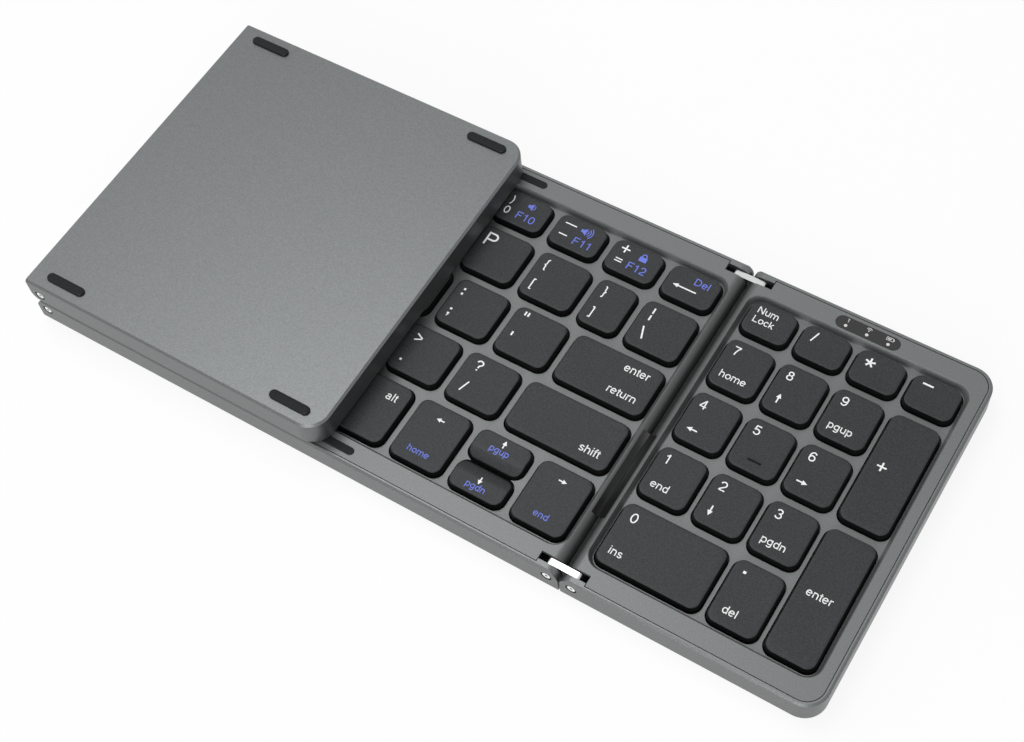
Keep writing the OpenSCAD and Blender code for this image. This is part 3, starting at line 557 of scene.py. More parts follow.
GLYPHS = {
    "a": (0.76, [(0.35, 0.5, 0.22, 0.17, 168, 0), (0.57, 0.14), (0.65, 0.13, 0.08, 0.08, 180, 275)],
          [(0.57, 0.42), (0.42, 0.39), (0.32, 0.22, 0.22, 0.165, 100, 270), (0.34, 0.28, 0.23, 0.225, 270, 350)]),
    "b": (0.774, stem(0.14), ring(0.4, 0.365, 0.26, 0.31)),
    "c": (0.68, [(0.37, 0.365, 0.26, 0.31, 38, 322)]),
    "d": (0.774, stem(0.64), ring(0.38, 0.365, 0.26, 0.31)),
    "e": (0.774, [(0.11, 0.385), (0.65, 0.385)], [(0.385, 0.365, 0.275, 0.31, 2, 322)]),
    "f": (0.387, [(0.2, 0), (0.2, 0.83), (0.31, 0.83, 0.11, 0.12, 180, 90), (0.38, 0.95)],
          [(0.03, 0.68), (0.37, 0.68)]),
    "g": (0.774, ring(0.375, 0.375, 0.255, 0.295),
          [(0.63, X_TOP), (0.63, -0.02), (0.38, -0.02, 0.25, 0.21, 0, -150)]),
    "h": (0.774, stem(0.14), shoulder(0.14, 0.63)),
    "i": (0.309, stem(0.155, 0, X_TOP), dot(0.155, 0.87)),
    "k": (0.68, stem(0.13), [(0.6, X_TOP), (0.14, 0.26)], [(0.28, 0.42), (0.62, 0)]),
    "l": (0.309, stem(0.155)),
    "m": (1.16, stem(0.13, 0, X_TOP), shoulder(0.13, 0.58), shoulder(0.58, 1.03)),
    "n": (0.774, stem(0.14, 0, X_TOP), shoulder(0.14, 0.63)),
    "o": (0.774, ring(0.387, 0.365, 0.28, 0.31)),
    "p": (0.774, stem(0.14, -0.28, X_TOP), ring(0.4, 0.365, 0.26, 0.31)),
    "r": (0.464, stem(0.15, 0, X_TOP), [(0.38, 0.44, 0.23, 0.23, 180, 85), (0.45, 0.67)]),
    "s": (0.68, [(0.34, 0.525, 0.2, 0.145, 15, 250), (0.35, 0.205, 0.22, 0.15, 68, -165)]),
    "t": (0.387, [(0.2, 0.91), (0.2, 0.15), (0.29, 0.15, 0.09, 0.09, 180, 270), (0.37, 0.06)],
          [(0.03, 0.68), (0.37, 0.68)]),
    "u": (0.774, stem(0.63, 0, X_TOP), [(0.14, X_TOP), (0.385, 0.3, 0.245, 0.24, 180, 360)]),
    "A": (0.929, [(0.06, 0), (0.45, 1)], [(0.48, 1), (0.87, 0)], [(0.18, 0.34), (0.75, 0.34)]),
    "B": (0.929, stem(0.16), [(0.16, 0.94), (0.52, 0.735, 0.23, 0.205, 90, -90), (0.16, 0.53)],
          [(0.5, 0.53), (0.55, 0.295, 0.25, 0.235, 90, -90), (0.16, 0.06)]),
    "C": (1.0, [(0.5, 0.5, 0.39, 0.44, 42, 318)]),
    "D": (1.0, stem(0.16), [(0.16, 0.94), (0.44, 0.5, 0.42, 0.44, 90, -90), (0.16, 0.06)]),
    "E": (0.929, stem(0.16), [(0.16, 0.94), (0.82, 0.94)], [(0.16, 0.53), (0.77, 0.53)], [(0.16, 0.06), (0.84, 0.06)]),
    "F": (0.851, stem(0.16), [(0.16, 0.94), (0.79, 0.94)], [(0.16, 0.52), (0.7, 0.52)]),
    "G": (1.083, [(0.53, 0.5, 0.42, 0.44, 42, 330)], [(0.57, 0.47), (0.94, 0.47)], stem(0.94, 0, 0.47)),
    "H": (1.0, stem(0.15), stem(0.85), [(0.15, 0.53), (0.85, 0.53)]),
    "I": (0.387, stem(0.19)),
    "J": (0.696, [(0.54, 1), (0.54, 0.3), (0.31, 0.3, 0.23, 0.24, 0, -180)]),
    "K": (0.929, stem(0.16), [(0.84, 1), (0.17, 0.34)], [(0.36, 0.56), (0.88, 0)]),
    "L": (0.774, stem(0.15), [(0.15, 0.06), (0.74, 0.06)]),
    "M": (1.16, stem(0.15), [(0.15, 1), (0.58, 0.03)], [(0.58, 0.03), (1.01, 1)], stem(1.01)),
    "N": (1.0, stem(0.15), [(0.16, 1), (0.84, 0)], stem(0.85)),
    "O": (1.083, ring(0.54, 0.5, 0.45, 0.45)),
    "P": (0.929, stem(0.16), [(0.16, 0.94), (0.55, 0.695, 0.26, 0.245, 90, -90), (0.16, 0.45)]),
    "Q": (1.083, ring(0.54, 0.5, 0.45, 0.45), [(0.62, 0.27), (0.94, 0)]),
    "R": (1.0, stem(0.16), [(0.16, 0.94), (0.58, 0.7, 0.26, 0.24, 90, -90), (0.16, 0.46)], [(0.6, 0.46), (0.87, 0)]),
    "S": (0.929, [(0.46, 0.725, 0.3, 0.215, 12, 250), (0.47, 0.27, 0.35, 0.21, 68, -168)]),
    "T": (0.851, stem(0.425), [(0.03, 0.94), (0.82, 0.94)]),
    "U": (1.0, [(0.15, 1), (0.5, 0.38, 0.35, 0.32, 180, 360), (0.85, 1)]),
    "V": (0.929, [(0.05, 1), (0.46, 0)], [(0.47, 0), (0.88, 1)]),
    "W": (1.315, [(0.05, 1), (0.34, 0)], [(0.35, 0), (0.65, 1)], [(0.66, 1), (0.96, 0)], [(0.97, 0), (1.26, 1)]),
    "X": (0.929, [(0.08, 1), (0.86, 0)], [(0.07, 0), (0.85, 1)]),
    "Y": (0.929, [(0.05, 1), (0.465, 0.4)], [(0.465, 0.4), (0.88, 1)], stem(0.465, 0, 0.42)),
    "Z": (0.851, [(0.08, 0.94), (0.77, 0.94)], [(0.76, 0.92), (0.08, 0.08)], [(0.07, 0.06), (0.79, 0.06)]),
    "0": (0.774, ring(0.387, 0.5, 0.28, 0.45)),
    "1": (0.774, stem(0.44), [(0.17, 0.77), (0.3, 0.79), (0.38, 0.86), (0.42, 0.98)]),
    "2": (0.774, [(0.385, 0.68, 0.265, 0.265, 170, -38), (0.34, 0.32), (0.19, 0.19), (0.12, 0.06)],
          [(0.08, 0.06), (0.69, 0.06)]),
    "3": (0.774, [(0.375, 0.735, 0.24, 0.21, 165, -90), (0.32, 0.525)],
          [(0.32, 0.525), (0.375, 0.29, 0.275, 0.235, 90, -165)]),
    "4": (0.774, stem(0.53), [(0.53, 0.97), (0.08, 0.29)], [(0.06, 0.27), (0.71, 0.27)]),
    "5": (0.774, [(0.65, 0.94), (0.2, 0.94), (0.14, 0.5)], [(0.375, 0.33, 0.28, 0.275, 145, -155)]),
    "6": (0.774, ring(0.395, 0.32, 0.265, 0.265), [(0.43, 0.53, 0.3, 0.42, 40, 192)]),
    "7": (0.774, [(0.08, 0.94), (0.7, 0.94)], [(0.68, 0.93), (0.5, 0.68), (0.37, 0.38), (0.31, 0)]),
    "8": (0.774, ring(0.387, 0.745, 0.22, 0.2), ring(0.387, 0.295, 0.27, 0.24)),
    "9": (0.774, ring(0.379, 0.68, 0.265, 0.265), [(0.344, 0.47, 0.3, 0.42, 220, 372)]),
    "/": (0.387, [(0.02, -0.02), (0.37, 1.02)]),
    "\\": (0.387, [(0.02, 1.02), (0.37, -0.02)]),
    "*": (0.62, *([(0.33, 0.72), (0.33 + 0.34 * math.sin(a), 0.72 + 0.34 * math.cos(a))]
                  for a in np.radians([0, 72, 144, 216, 288]))),
    "%": (1.24, ring(0.27, 0.76, 0.15, 0.19), ring(0.97, 0.24, 0.15, 0.19), [(0.37, -0.02), (0.87, 1.02)]),
    "^": (0.65, [(0.1, 0.5), (0.32, 0.97)], [(0.33, 0.97), (0.55, 0.5)]),
    "&": (0.93, [(0.88, 0), (0.3, 0.64), (0.43, 0.79, 0.17, 0.16, 205, -40), (0.27, 0.44),
                 (0.37, 0.25, 0.25, 0.19, 140, 360)]),
    "(": (0.464, [(0.62, 0.37, 0.46, 0.75, 125, 235)]),
    ")": (0.464, [(-0.16, 0.37, 0.46, 0.75, 55, -55)]),
    "{": (0.464, [(0.4, 1), (0.36, 0.86, 0.11, 0.14, 90, 180), (0.25, 0.5), (0.14, 0.38), (0.25, 0.26),
                  (0.36, -0.1, 0.11, 0.14, 180, 270), (0.4, -0.24)]),
    "}": (0.464, [(0.06, 1), (0.1, 0.86, 0.11, 0.14, 90, 0), (0.21, 0.5), (0.32, 0.38), (0.21, 0.26),
                  (0.1, -0.1, 0.11, 0.14, 0, -90), (0.06, -0.24)]),
    "[": (0.387, stem(0.15, -0.29, 1), [(0.15, 0.95), (0.35, 0.95)], [(0.15, -0.24), (0.35, -0.24)]),
    "]": (0.387, stem(0.24, -0.29, 1), [(0.04, 0.95), (0.24, 0.95)], [(0.04, -0.24), (0.24, -0.24)]),
    '"': (0.5, stem(0.12, 0.66, 1), stem(0.36, 0.66, 1)),
    "'": (0.26, stem(0.12, 0.66, 1)),
    "<": (0.81, [(0.72, 0.7), (0.1, 0.39)], [(0.1, 0.36), (0.72, 0.05)]),
    ">": (0.81, [(0.1, 0.7), (0.72, 0.39)], [(0.72, 0.36), (0.1, 0.05)]),
    "?": (0.774, [(0.38, 0.735, 0.26, 0.21, 175, -45), (0.42, 0.47), (0.38, 0.26)], dot(0.38)),
    "!": (0.387, stem(0.19, 0.28, 1), dot(0.19)),
    "@": (1.4, ring(0.68, 0.4, 0.22, 0.25), [(0.93, 0.64), (0.86, 0.2), (1.0, 0.17), (1.22, 0.5)],
          [(0.69, 0.4, 0.55, 0.55, 10, 305)]),
    "#": (0.774, [(0.2, 0), (0.32, 1)], [(0.46, 0), (0.58, 1)], [(0.05, 0.66), (0.74, 0.66)],
          [(0.03, 0.33), (0.72, 0.33)]),
    "$": (0.774, [(0.385, 0.7, 0.24, 0.19, 12, 250), (0.385, 0.29, 0.27, 0.19, 68, -168)], stem(0.385, -0.08, 1.08)),
}


def ribbon(chain):
    """A stroke as a band of quads: every point of the middle line gets two points, half a width to each side
    along the mean of the normals of the lines that meet there."""
    line = []
    for part in chain:
        if len(part) == 2:
            line.append(part)
        else:
            x, y, rx, ry, start, end = part
            a = np.radians(np.linspace(start, end, 3 + int(abs(end - start) / 15)))
            line += list(zip(x + rx * np.cos(a), y + ry * np.sin(a)))
    line = np.array([p for i, p in enumerate(line) if i == 0 or math.dist(p, line[i - 1]) > 1e-6])
    parts = [np.linspace(a, b, 1 + math.ceil(math.dist(a, b) / STROKE_STEP))[:-1] for a, b in zip(line, line[1:])]
    line = np.concatenate(parts + [line[-1:]])
    step = np.diff(line, axis=0)
    step /= np.linalg.norm(step, axis=1, keepdims=True)
    across = np.stack([-step[:, 1], step[:, 0]], 1)
    mean = np.concatenate([across[:1], across[:-1] + across[1:], across[-1:]])
    mean[1:-1] /= np.maximum((mean[1:-1] * across[1:]).sum(1, keepdims=True), 0.6)
    if math.dist(line[0], line[-1]) < 1e-6:
        mean[0] = mean[-1] = (across[0] + across[-1]) / 2
    count = len(line)
    points = np.concatenate([line - mean * STROKE / 2, line + mean * STROKE / 2])
    return points, [[i, i + 1, i + count + 1, i + count] for i in range(count - 1)]


def letters(word):
    """Points and faces of a word, with a capital one unit high and the word starting at x = 0."""
    parts, x = [], 0
    for sign in word:
        advance, *strokes = GLYPHS[sign]
        parts += [(points + [x, 0], faces) for points, faces in map(ribbon, strokes)]
        x += advance
    points, faces = join(*parts)
    return points - [points[:, 0].min(), 0], faces


def box_mark(x0, y0, x1, y1):
    return np.array([(x0, y0), (x1, y0), (x1, y1), (x0, y1)], float), [[0, 1, 2, 3]]


def band(cx, cy, inner, outer, start, end, steps=9):
    """Part of a ring: points on two circles at the same angles, from start to end degrees."""
    a = np.radians(np.linspace(start, end, steps))
    ray = np.stack([np.cos(a), np.sin(a)], 1)
    points = np.concatenate([[cx, cy] + inner * ray, [cx, cy] + outer * ray])
    return points, [[i, i + steps, i + steps + 1, i + 1] for i in range(steps - 1)]


ARROW_LENGTH, ARROW_HALF = 2.75, 0.66
SHORT = (1.15, 0.6, 0.17)


def arrow(length=ARROW_LENGTH, head=1.3, half=ARROW_HALF, shaft=0.19):
    """Arrow to the right, its tail at the origin: a bar and a triangle, both in slices along it."""
    x = np.linspace(0, length - head, 6)
    tip = np.linspace(length - head, length, 6)
    x, y = np.concatenate([x, tip]), np.concatenate([np.full(6, shaft), half * (length - tip) / head])
    return np.concatenate([np.c_[x, -y], np.c_[x, y]]), [[i, i + 1, i + 13, i + 12] for i in range(11) if i != 5]


def left_arrow(length=ARROW_LENGTH, *sizes):
    """Arrow to the left, its tip at the origin."""
    points, faces = arrow(length, *sizes)
    return points * [-1, -1] + [length, 0], faces


def turned(shape, degrees):
    """A flat shape turned about the origin."""
    a = math.radians(degrees)
    points, faces = shape
    return points @ np.array([[math.cos(a), math.sin(a)], [-math.sin(a), math.cos(a)]]), faces


def speaker(waves):
    """Loudspeaker: a box, a horn and that many arcs."""
    horn = np.array([(0.6, 0.75), (1.5, 0.1), (1.5, 2.3), (0.6, 1.65)], float), [[0, 1, 2, 3]]
    arcs = [band(1.2, 1.2, 0.75 + 0.6 * k, 1.0 + 0.6 * k, -48, 48) for k in range(waves)]
    return join(box_mark(0, 0.75, 0.6, 1.65), horn, *arcs)


def comma():
    """Comma: a square with a slanted tail."""
    tail = np.array([(0.1, -0.55), (0.3, -0.55), (0.6, 0), (0.25, 0)]), [[0, 1, 2, 3]]
    return join(box_mark(0, 0, 0.6, 0.6), tail)


def padlock():
    """Padlock: a box under half a ring with two short legs."""
    return join(box_mark(0, 0, 2.1, 1.4), band(1.05, 1.75, 0.42, 0.72, 0, 180),
                box_mark(0.33, 1.4, 0.63, 1.75), box_mark(1.47, 1.4, 1.77, 1.75))


SYMBOLS = {
    "right": arrow(), "left": left_arrow(), "up": turned(arrow(), 90), "down": turned(arrow(), -90),
    "short right": arrow(2.2, *SHORT), "short left": left_arrow(2.2, *SHORT),
    "short up": turned(arrow(2.1, *SHORT), 90), "short down": turned(arrow(2.1, *SHORT), -90),
    "back": left_arrow(6.5, 1.5, 0.62),
    "long bar": box_mark(0, -0.17, 3.3, 0.17), "bar": box_mark(0, -0.17, 2.4, 0.17),
    "minus": box_mark(0, -0.24, 2.7, 0.24),
    "plus": join(box_mark(0, -0.21, 2.4, 0.21), box_mark(0.99, 0.21, 1.41, 1.2),
                 box_mark(0.99, -1.2, 1.41, -0.21)),
    "equals": join(box_mark(0, -0.55, 2.0, -0.22), box_mark(0, 0.22, 2.0, 0.55)),
    "stop": box_mark(0, 0, 0.72, 0.66), "full stop": box_mark(0, 0, 0.6, 0.6), "comma": comma(),
    "colon": join(box_mark(0, 0, 0.6, 0.6), box_mark(0, 1.5, 0.6, 2.1)),
    "semicolon": join(comma(), box_mark(0, 1.5, 0.6, 2.1)),
    "broken bar": join(box_mark(0, 0, 0.42, 1.6), box_mark(0, 2.1, 0.42, 3.8)),
    "quiet": speaker(1), "loud": speaker(3), "lock": padlock()}


def mark_shape(what, height):
    """A symbol at its own size, or a word at the size that makes its capitals that high."""
    if what in SYMBOLS:
        return SYMBOLS[what]
    points, faces = letters(what)
    return points * height, faces


def digit(text, word=None):
    marks = [(text, 2.15, 4.45, DIGIT_CAP, WHITE)]
    return marks + ([(word, 2.2, 11.35, WORD_CAP, WHITE)] if word else [])


def pad_arrow(text, name, left, base):
    return [(text, 2.15, 4.45, DIGIT_CAP, WHITE), (name, left, base, 0, WHITE)]


def letter(text):
    return [(text, 2.1, 5.8, LETTER_CAP, WHITE)]


def two_signs(upper, lower, left=2.3, cap=3.0):
    return [(upper, left, 4.75, cap, WHITE), (lower, left, 11.3, cap, WHITE)]


def top_key(upper, lower, function):
    return [(upper, 2.3, 3.8, TOP_ROW_CAP, WHITE), (lower, 2.1, 7.4, TOP_ROW_CAP, WHITE),
            (function, 5.9, 7.55, TOP_ROW_CAP, BLUE)]


def low_word(text, inset=-3.0):
    return [(text, inset, 11.3, WIDE_CAP, WHITE)]


PAD_MARKS = {
    "key_num_lock": [("Num", 2.0, 3.3, 1.95, WHITE), ("Lock", 2.0, 6.15, 1.95, WHITE)],
    "key_divide": [("/", 2.45, 4.4, 2.8, WHITE)],
    "key_times": [("*", 2.2, 5.85, 3.8, WHITE)],
    "key_minus": [("minus", 2.4, 2.15, 0, WHITE)],
    "key_7": digit("7", "home"), "key_8": pad_arrow("8", "up", 3.25, 11.4), "key_9": digit("9", "pgup"),
    "key_4": pad_arrow("4", "left", 2.4, 10.5), "key_5": digit("5"), "key_6": pad_arrow("6", "right", 2.4, 10.4),
    "key_1": digit("1", "end"), "key_2": pad_arrow("2", "down", 3.25, 8.7), "key_3": digit("3", "pgdn"),
    "key_plus": [("plus", 2.4, 14.8, 0, WHITE)],
    "key_enter": [("enter", 2.5, 17.95, WORD_CAP, WHITE)],
    "key_0": [("0", 2.6, 4.75, DIGIT_CAP, WHITE), ("ins", 2.35, 13.95, WORD_CAP, WHITE)],
    "key_point": [("stop", 2.55, 3.3, 0, WHITE), ("del", 2.7, 13.95, WORD_CAP, WHITE)]}
MIDDLE_MARKS = [
    [top_key("%", "5", "F5"), top_key("^", "6", "F6"), top_key("&", "7", "F7"), top_key("*", "8", "F8"),
     top_key("(", "9", "F9"), top_key(")", "0", "F10") + [("quiet", 7.2, 3.85, 0, BLUE)],
     [("long bar", 2.0, 2.5, 0, WHITE), ("bar", 2.0, 6.1, 0, WHITE), ("F11", 6.5, 7.55, TOP_ROW_CAP, BLUE),
      ("loud", 6.8, 3.95, 0, BLUE)],
     [("plus", 2.1, 2.35, 0, WHITE), ("equals", 2.2, 6.15, 0, WHITE), ("F12", 5.9, 7.55, TOP_ROW_CAP, BLUE),
      ("lock", 7.6, 3.95, 0, BLUE)],
     [("Del", -2.75, 3.75, 2.1, BLUE), ("back", 2.2, 5.75, 0, WHITE)]],
    [letter("T"), letter("Y"), letter("U"), letter("I"), letter("O"), letter("P"), two_signs("{", "[", cap=2.6),
     two_signs("}", "]", cap=2.6), [("broken bar", 2.75, 5.75, 0, WHITE), ("\\", 2.6, 11.2, 3.4, WHITE)]],
    [letter("G"), letter("H"), letter("J"), letter("K"), letter("L"), two_signs("colon", "semicolon"),
     two_signs('"', "'", 2.4, 3.6), [("enter", -3.0, 4.15, WIDE_CAP, WHITE), ("return", -3.0, 11.2, WIDE_CAP, WHITE)]],
    [letter("V"), letter("B"), letter("N"), letter("M"), two_signs("<", "comma", 2.6), two_signs(">", "full stop", 2.7),
     two_signs("?", "/", 2.95), low_word("shift")],
    [[], [("alt", -2.7, 5.1, WIDE_CAP, WHITE)],
     [("short left", 5.9, 3.75, 0, WHITE), ("home", 3.95, 14.3, 1.75, BLUE)],
     [("short up", 7.25, 2.9, 0, WHITE), ("pgup", 4.4, 4.7, 1.75, BLUE)],
     [("short down", 7.25, 2.75, 0, WHITE), ("pgdn", 4.45, 6.45, 1.75, BLUE)],
     [("short right", 6.0, 3.5, 0, WHITE), ("end", 5.1, 14.2, 1.75, BLUE)]]]
LEFT_MARKS = [
    [[("esc", 2.2, 5.9, WORD_CAP, WHITE)], top_key("!", "1", "F1"), top_key("@", "2", "F2"),
     top_key("#", "3", "F3"), top_key("$", "4", "F4")],
    [low_word("tab", 2.2), letter("Q"), letter("W"), letter("E"), letter("R")],
    [low_word("caps", 2.2), letter("A"), letter("S"), letter("D"), letter("F")],
    [low_word("shift", 2.2), letter("Z"), letter("X"), letter("C")],
    [[("fn", 2.2, 5.1, WORD_CAP, BLUE)], [("ctrl", 2.2, 5.1, WORD_CAP, WHITE)],
     [("alt", 2.2, 5.1, WORD_CAP, WHITE)], []]]


def key_mark(key, mark):
    """A mark laid on a key's top, just clear of it."""
    what, left, base, height, ink = mark
    points, faces = mark_shape(what, height)
    x = key.left + left if left >= 0 else key.left + key.w + left - points[:, 0].max()
    x, y = points[:, 0] + x, points[:, 1] + key.top - base
    if what in ("up", "down", "short up", "short down"):
        x = x - points[:, 0].min() - ARROW_HALF
    return np.stack([x, y, key.height(x, y) + LEGEND_LIFT], 1), faces, [ink] * len(faces)


def add_legends(node, panel, keys, marks):
    parts = [key_mark(key, m) for key, row in zip(keys, marks) for m in row]
    if parts:
        points, faces, inks = join_parts(parts)
        add_piece("legends_" + node, points, faces, [WHITE_INK, BLUE_INK], panel, body_of(node), inks,
                  "keycaps", smooth=False)


for node, keys in pad_keys.items():
    add_legends(node, PAD, keys, [PAD_MARKS[node]])
for row, (node, keys) in enumerate(middle_keys.items()):
    add_legends(node, MIDDLE, keys, MIDDLE_MARKS[row])
for row, (node, keys) in enumerate(left_keys.items()):
    add_legends(node, LEFT, keys, LEFT_MARKS[row])


# Rubber domes: a thin sheet on each panel and a dome on it under each key

SHEET_T, SHEET_R = 0.3, 1.0
DOME_R, DOME_TIP_R = 2.7, 1.6
DOME_POINTS = 20


def sheet(low, high):
    """Flat rubber sheet with rounded corners: its outline below and above, and a wall between them."""
    outline, _ = rounded_outline(high[0] - low[0], high[1] - low[1], SHEET_R)
    outline += (np.array(low[:2]) + high[:2]) / 2
    count = len(outline)
    points = np.concatenate([np.c_[outline, np.full(count, z)] for z in (low[2], low[2] + SHEET_T)])
    caps = [list(reversed(range(count))), list(range(count, 2 * count))]
    return points, caps + ring_faces(2, count).tolist()


def dome(key, low, high):
    """Dome turned about its axis: its radius falls from foot to tip along half a cosine wave, and a flat closes it."""
    rise = np.linspace(0, 1, 8)
    radius = DOME_TIP_R + (DOME_R - DOME_TIP_R) * (1 + np.cos(math.pi * rise)) / 2
    radius, z = np.append(radius, POLE), np.append(low + (high - low) * rise, high)
    a = np.linspace(0, 2 * math.pi, DOME_POINTS, endpoint=False)
    points = np.concatenate([np.c_[key.x + r * np.cos(a), key.y + r * np.sin(a), np.full(DOME_POINTS, h)]
                             for r, h in zip(radius, z)])
    return points, ring_faces(len(z), DOME_POINTS).tolist()


for cad_sheet, panel, rows in (("pad_domes", PAD, pad_keys), ("mid_domes", MIDDLE, middle_keys),
                               ("left_domes", LEFT, left_keys)):
    low, high = solids_of(cad_sheet, panel)[0]
    foot = low[2] + SHEET_T
    piece = add_piece("sheet_" + cad_sheet, *sheet(low, high), [DOME], panel, slot="dome_rubber", smooth=False)
    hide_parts(cad_sheet)
    for node, keys in rows.items():
        points, faces = join(*[dome(key, foot, high[2]) for key in keys])
        piece = add_piece("domes_" + node, points, faces, [DOME], panel, slot="dome_rubber")
        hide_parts(cad_sheet)
        tuple(panel.world([0, 0, foot]))
        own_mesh(piece)


# Rubber feet and bumpers, and the bars that a finger feels on F, J and 5

BAR_SHADOW_RINGS = 4
FOOT_ROUND, BUMPER_ROUND, TOUCH_ROUND = (0.55, 0.06), (0.22, 0.03), (0.12, 0.02)
TOUCH_BAR = np.array([3.6, 0.5, 0.28])
TOUCH_BAR_UP, TOUCH_BAR_SINK = 2.85, 0.05


def rounded_bar(low, high, edge, crown, up=1):
    """Bar with round ends between two corners. Its side rises straight, turns over a quarter circle of
    radius edge and ends in a low crown. With up = -1 it points down. The faces of its base, its side and the lower
    part of its turn are marked 1: on feet and bumpers they take a dark rubber, a painted shadow round the bar."""
    width, depth = high[0] - low[0], high[1] - low[1]
    base, tall = (low[2], high[2] - low[2]) if up > 0 else (high[2], high[2] - low[2])
    outline, normal = rounded_outline(width, depth, depth / 2 - POLE, 10)
    turn = np.linspace(0, math.pi / 2, 6)
    side = [(0, 0)] + list(zip(edge * (1 - np.cos(turn)), tall - crown - edge * (1 - np.sin(turn))))
    rings = [np.c_[outline - normal * inset, np.full(len(outline), z)] for inset, z in side]
    rim = rings[-1][:, :2]
    for share in (0.8, 0.6, 0.4, 0.2, POLE):
        rings.append(np.c_[rim * share, np.full(len(rim), tall - crown * share ** 2)])
    points = np.concatenate(rings)
    points[:, 2] = base + up * points[:, 2]
    points[:, :2] += [(low[0] + high[0]) / 2, (low[1] + high[1]) / 2]
    faces = [list(reversed(range(len(outline))))] + ring_faces(len(rings), len(outline)).tolist()
    in_painted_shadow = np.repeat(np.arange(len(rings) - 1), len(outline)) < BAR_SHADOW_RINGS
    return points, faces if up > 0 else [f[::-1] for f in faces], np.concatenate([[1], in_painted_shadow.astype(int)])


def add_bars(node, panel, edge, crown, up):
    parts = [rounded_bar(low, high, edge, crown, up) for low, high in solids_of(node, panel)]
    points, faces, marks = join_parts(parts)
    # Marked faces get the dark seam rubber: painted shadow round the feet and bumpers.
    piece = add_piece("soft_" + node, points, faces, [RUBBER, SEAM_RUBBER_AND_SHADE], panel, face_material=marks, slot="rubber")
    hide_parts(node)


for node, panel in (("mid_feet", MIDDLE), ("pad_feet", PAD), ("left_feet", LEFT)):
    add_bars(node, panel, *FOOT_ROUND, -1)
add_bars("mid_bumpers", MIDDLE, *BUMPER_ROUND, 1)

for node, panel, key in (("key_5", PAD, pad_keys["key_5"][0]),
                         ("mid_keys_row2", MIDDLE, middle_keys["mid_keys_row2"][2]),
                         ("left_keys_row2", LEFT, left_keys["left_keys_row2"][4])):
    # The bars take the near-black key side plastic, which paints the shadow line along them.
    foot = KEY_TOP - KEY_DISH - TOUCH_BAR_SINK
    corner = np.array([key.x - TOUCH_BAR[0] / 2, key.y - key.d / 2 + TOUCH_BAR_UP, foot])
    points, faces, _ = rounded_bar(corner, corner + TOUCH_BAR, *TOUCH_ROUND)
    add_piece("touch_bar_" + node, points, faces, [KEY_SIDE_SHADE], panel, body_of(node), slot="keycaps")


# Cover of the flat cable in the open seam: a rubber sheet that lies on both rounded edges and sags between them.

EDGE_R = 3.05
COVER_SAG = 1.0
COVER_THICK, COVER_LEAST = 0.35, 0.02
COVER_LIFT = 0.03


def cover_half(side, low, high, seam):
    """Half of the sheet, from the seam's middle to one side. Across the seam its top rises from the sag to
    its edge with the distance to the power 1.5. Its underside is a sheet's thickness lower, or on the edge's round."""
    half = (high[0] - low[0]) / 2
    u = np.linspace(0, half, 14)
    top = high[2] - COVER_SAG * (1 - (u / half) ** 1.5)
    across = (seam["gap"] / 2 + EDGE_R) - u
    on_edge = np.sqrt(np.maximum(EDGE_R ** 2 - across ** 2, 0)) - EDGE_R + COVER_LIFT
    under = np.minimum(np.maximum(top - COVER_THICK, on_edge), top - COVER_LEAST)
    loop = np.concatenate([np.c_[u, top], np.c_[u, under][::-1]])
    y = np.linspace(low[1], high[1], 3)
    points = np.concatenate([np.c_[seam["x"] + side * loop[:, 0], np.full(len(loop), v), loop[:, 1]] for v in y])
    count = len(loop)
    faces = ring_faces(len(y), count).tolist()
    faces += [[i, i + 1, count - 2 - i, count - 1 - i] for i in range(len(u) - 1)]
    faces += [[f + 2 * count for f in (count - 1 - i, count - 2 - i, i + 1, i)] for i in range(len(u) - 1)]
    return points, faces if side > 0 else [f[::-1] for f in faces]


seam_gap = (PAD.origin[0] - MIDDLE.origin[0]) / MM - MIDDLE.width
seam = {"gap": seam_gap, "x": MIDDLE.width + seam_gap / 2}
cover_low, cover_high = solids_of("right_cable_cover", MIDDLE)[0]
cover_anchor = MIDDLE.world([seam["x"], 0, 0])
for side, joint, name in ((-1, "right_link_turn", "left"), (1, "pad_panel_turn", "right")):
    points, faces = cover_half(side, cover_low, cover_high, seam)
    piece = add_piece("cable_cover_" + name, points, faces, [SEAM_RUBBER_AND_SHADE], MIDDLE, body_of("right_cable_cover"),
                      slot="rubber")
    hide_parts("right_cable_cover")
    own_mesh(piece)


# Hinge pins: turned, with a small hole in the head

PIN_HEAD_T = 0.6
PIN_R = 0.75
PIN_POINTS = 32


def pin(low, high, outward):
    """A pin turned about its axis, along Y: a profile of (radius, depth from the head's face) carried round.
    The face has a small hole in the middle and a bevelled rim, both dark: painted shade in the hole and painted shadow
    round the head."""
    r, length = (high[0] - low[0]) / 2, high[1] - low[1]
    profile = np.array([(POLE, 0.2), (0.31 * r, 0.2), (0.31 * r, 0.02), (0.34 * r, 0), (0.86 * r, 0), (r, 0.1),
                        (r, PIN_HEAD_T), (PIN_R, PIN_HEAD_T), (PIN_R, length), (POLE, length)])
    a = np.linspace(0, 2 * math.pi, PIN_POINTS, endpoint=False)
    face = high[1] if outward > 0 else low[1]
    points = np.concatenate([np.c_[(low[0] + high[0]) / 2 + radius * np.cos(a),
                                   np.full(PIN_POINTS, face - outward * depth),
                                   (low[2] + high[2]) / 2 + radius * np.sin(a)] for radius, depth in profile])
    faces = ring_faces(len(profile), PIN_POINTS)
    # Dark faces, painted shade: the hole's floor and wall, and the bevelled rim.
    dark = np.repeat([1, 1, 0, 0, 1, 0, 0, 0, 0], PIN_POINTS)
    return points, (faces if outward > 0 else faces[:, ::-1]).tolist(), dark


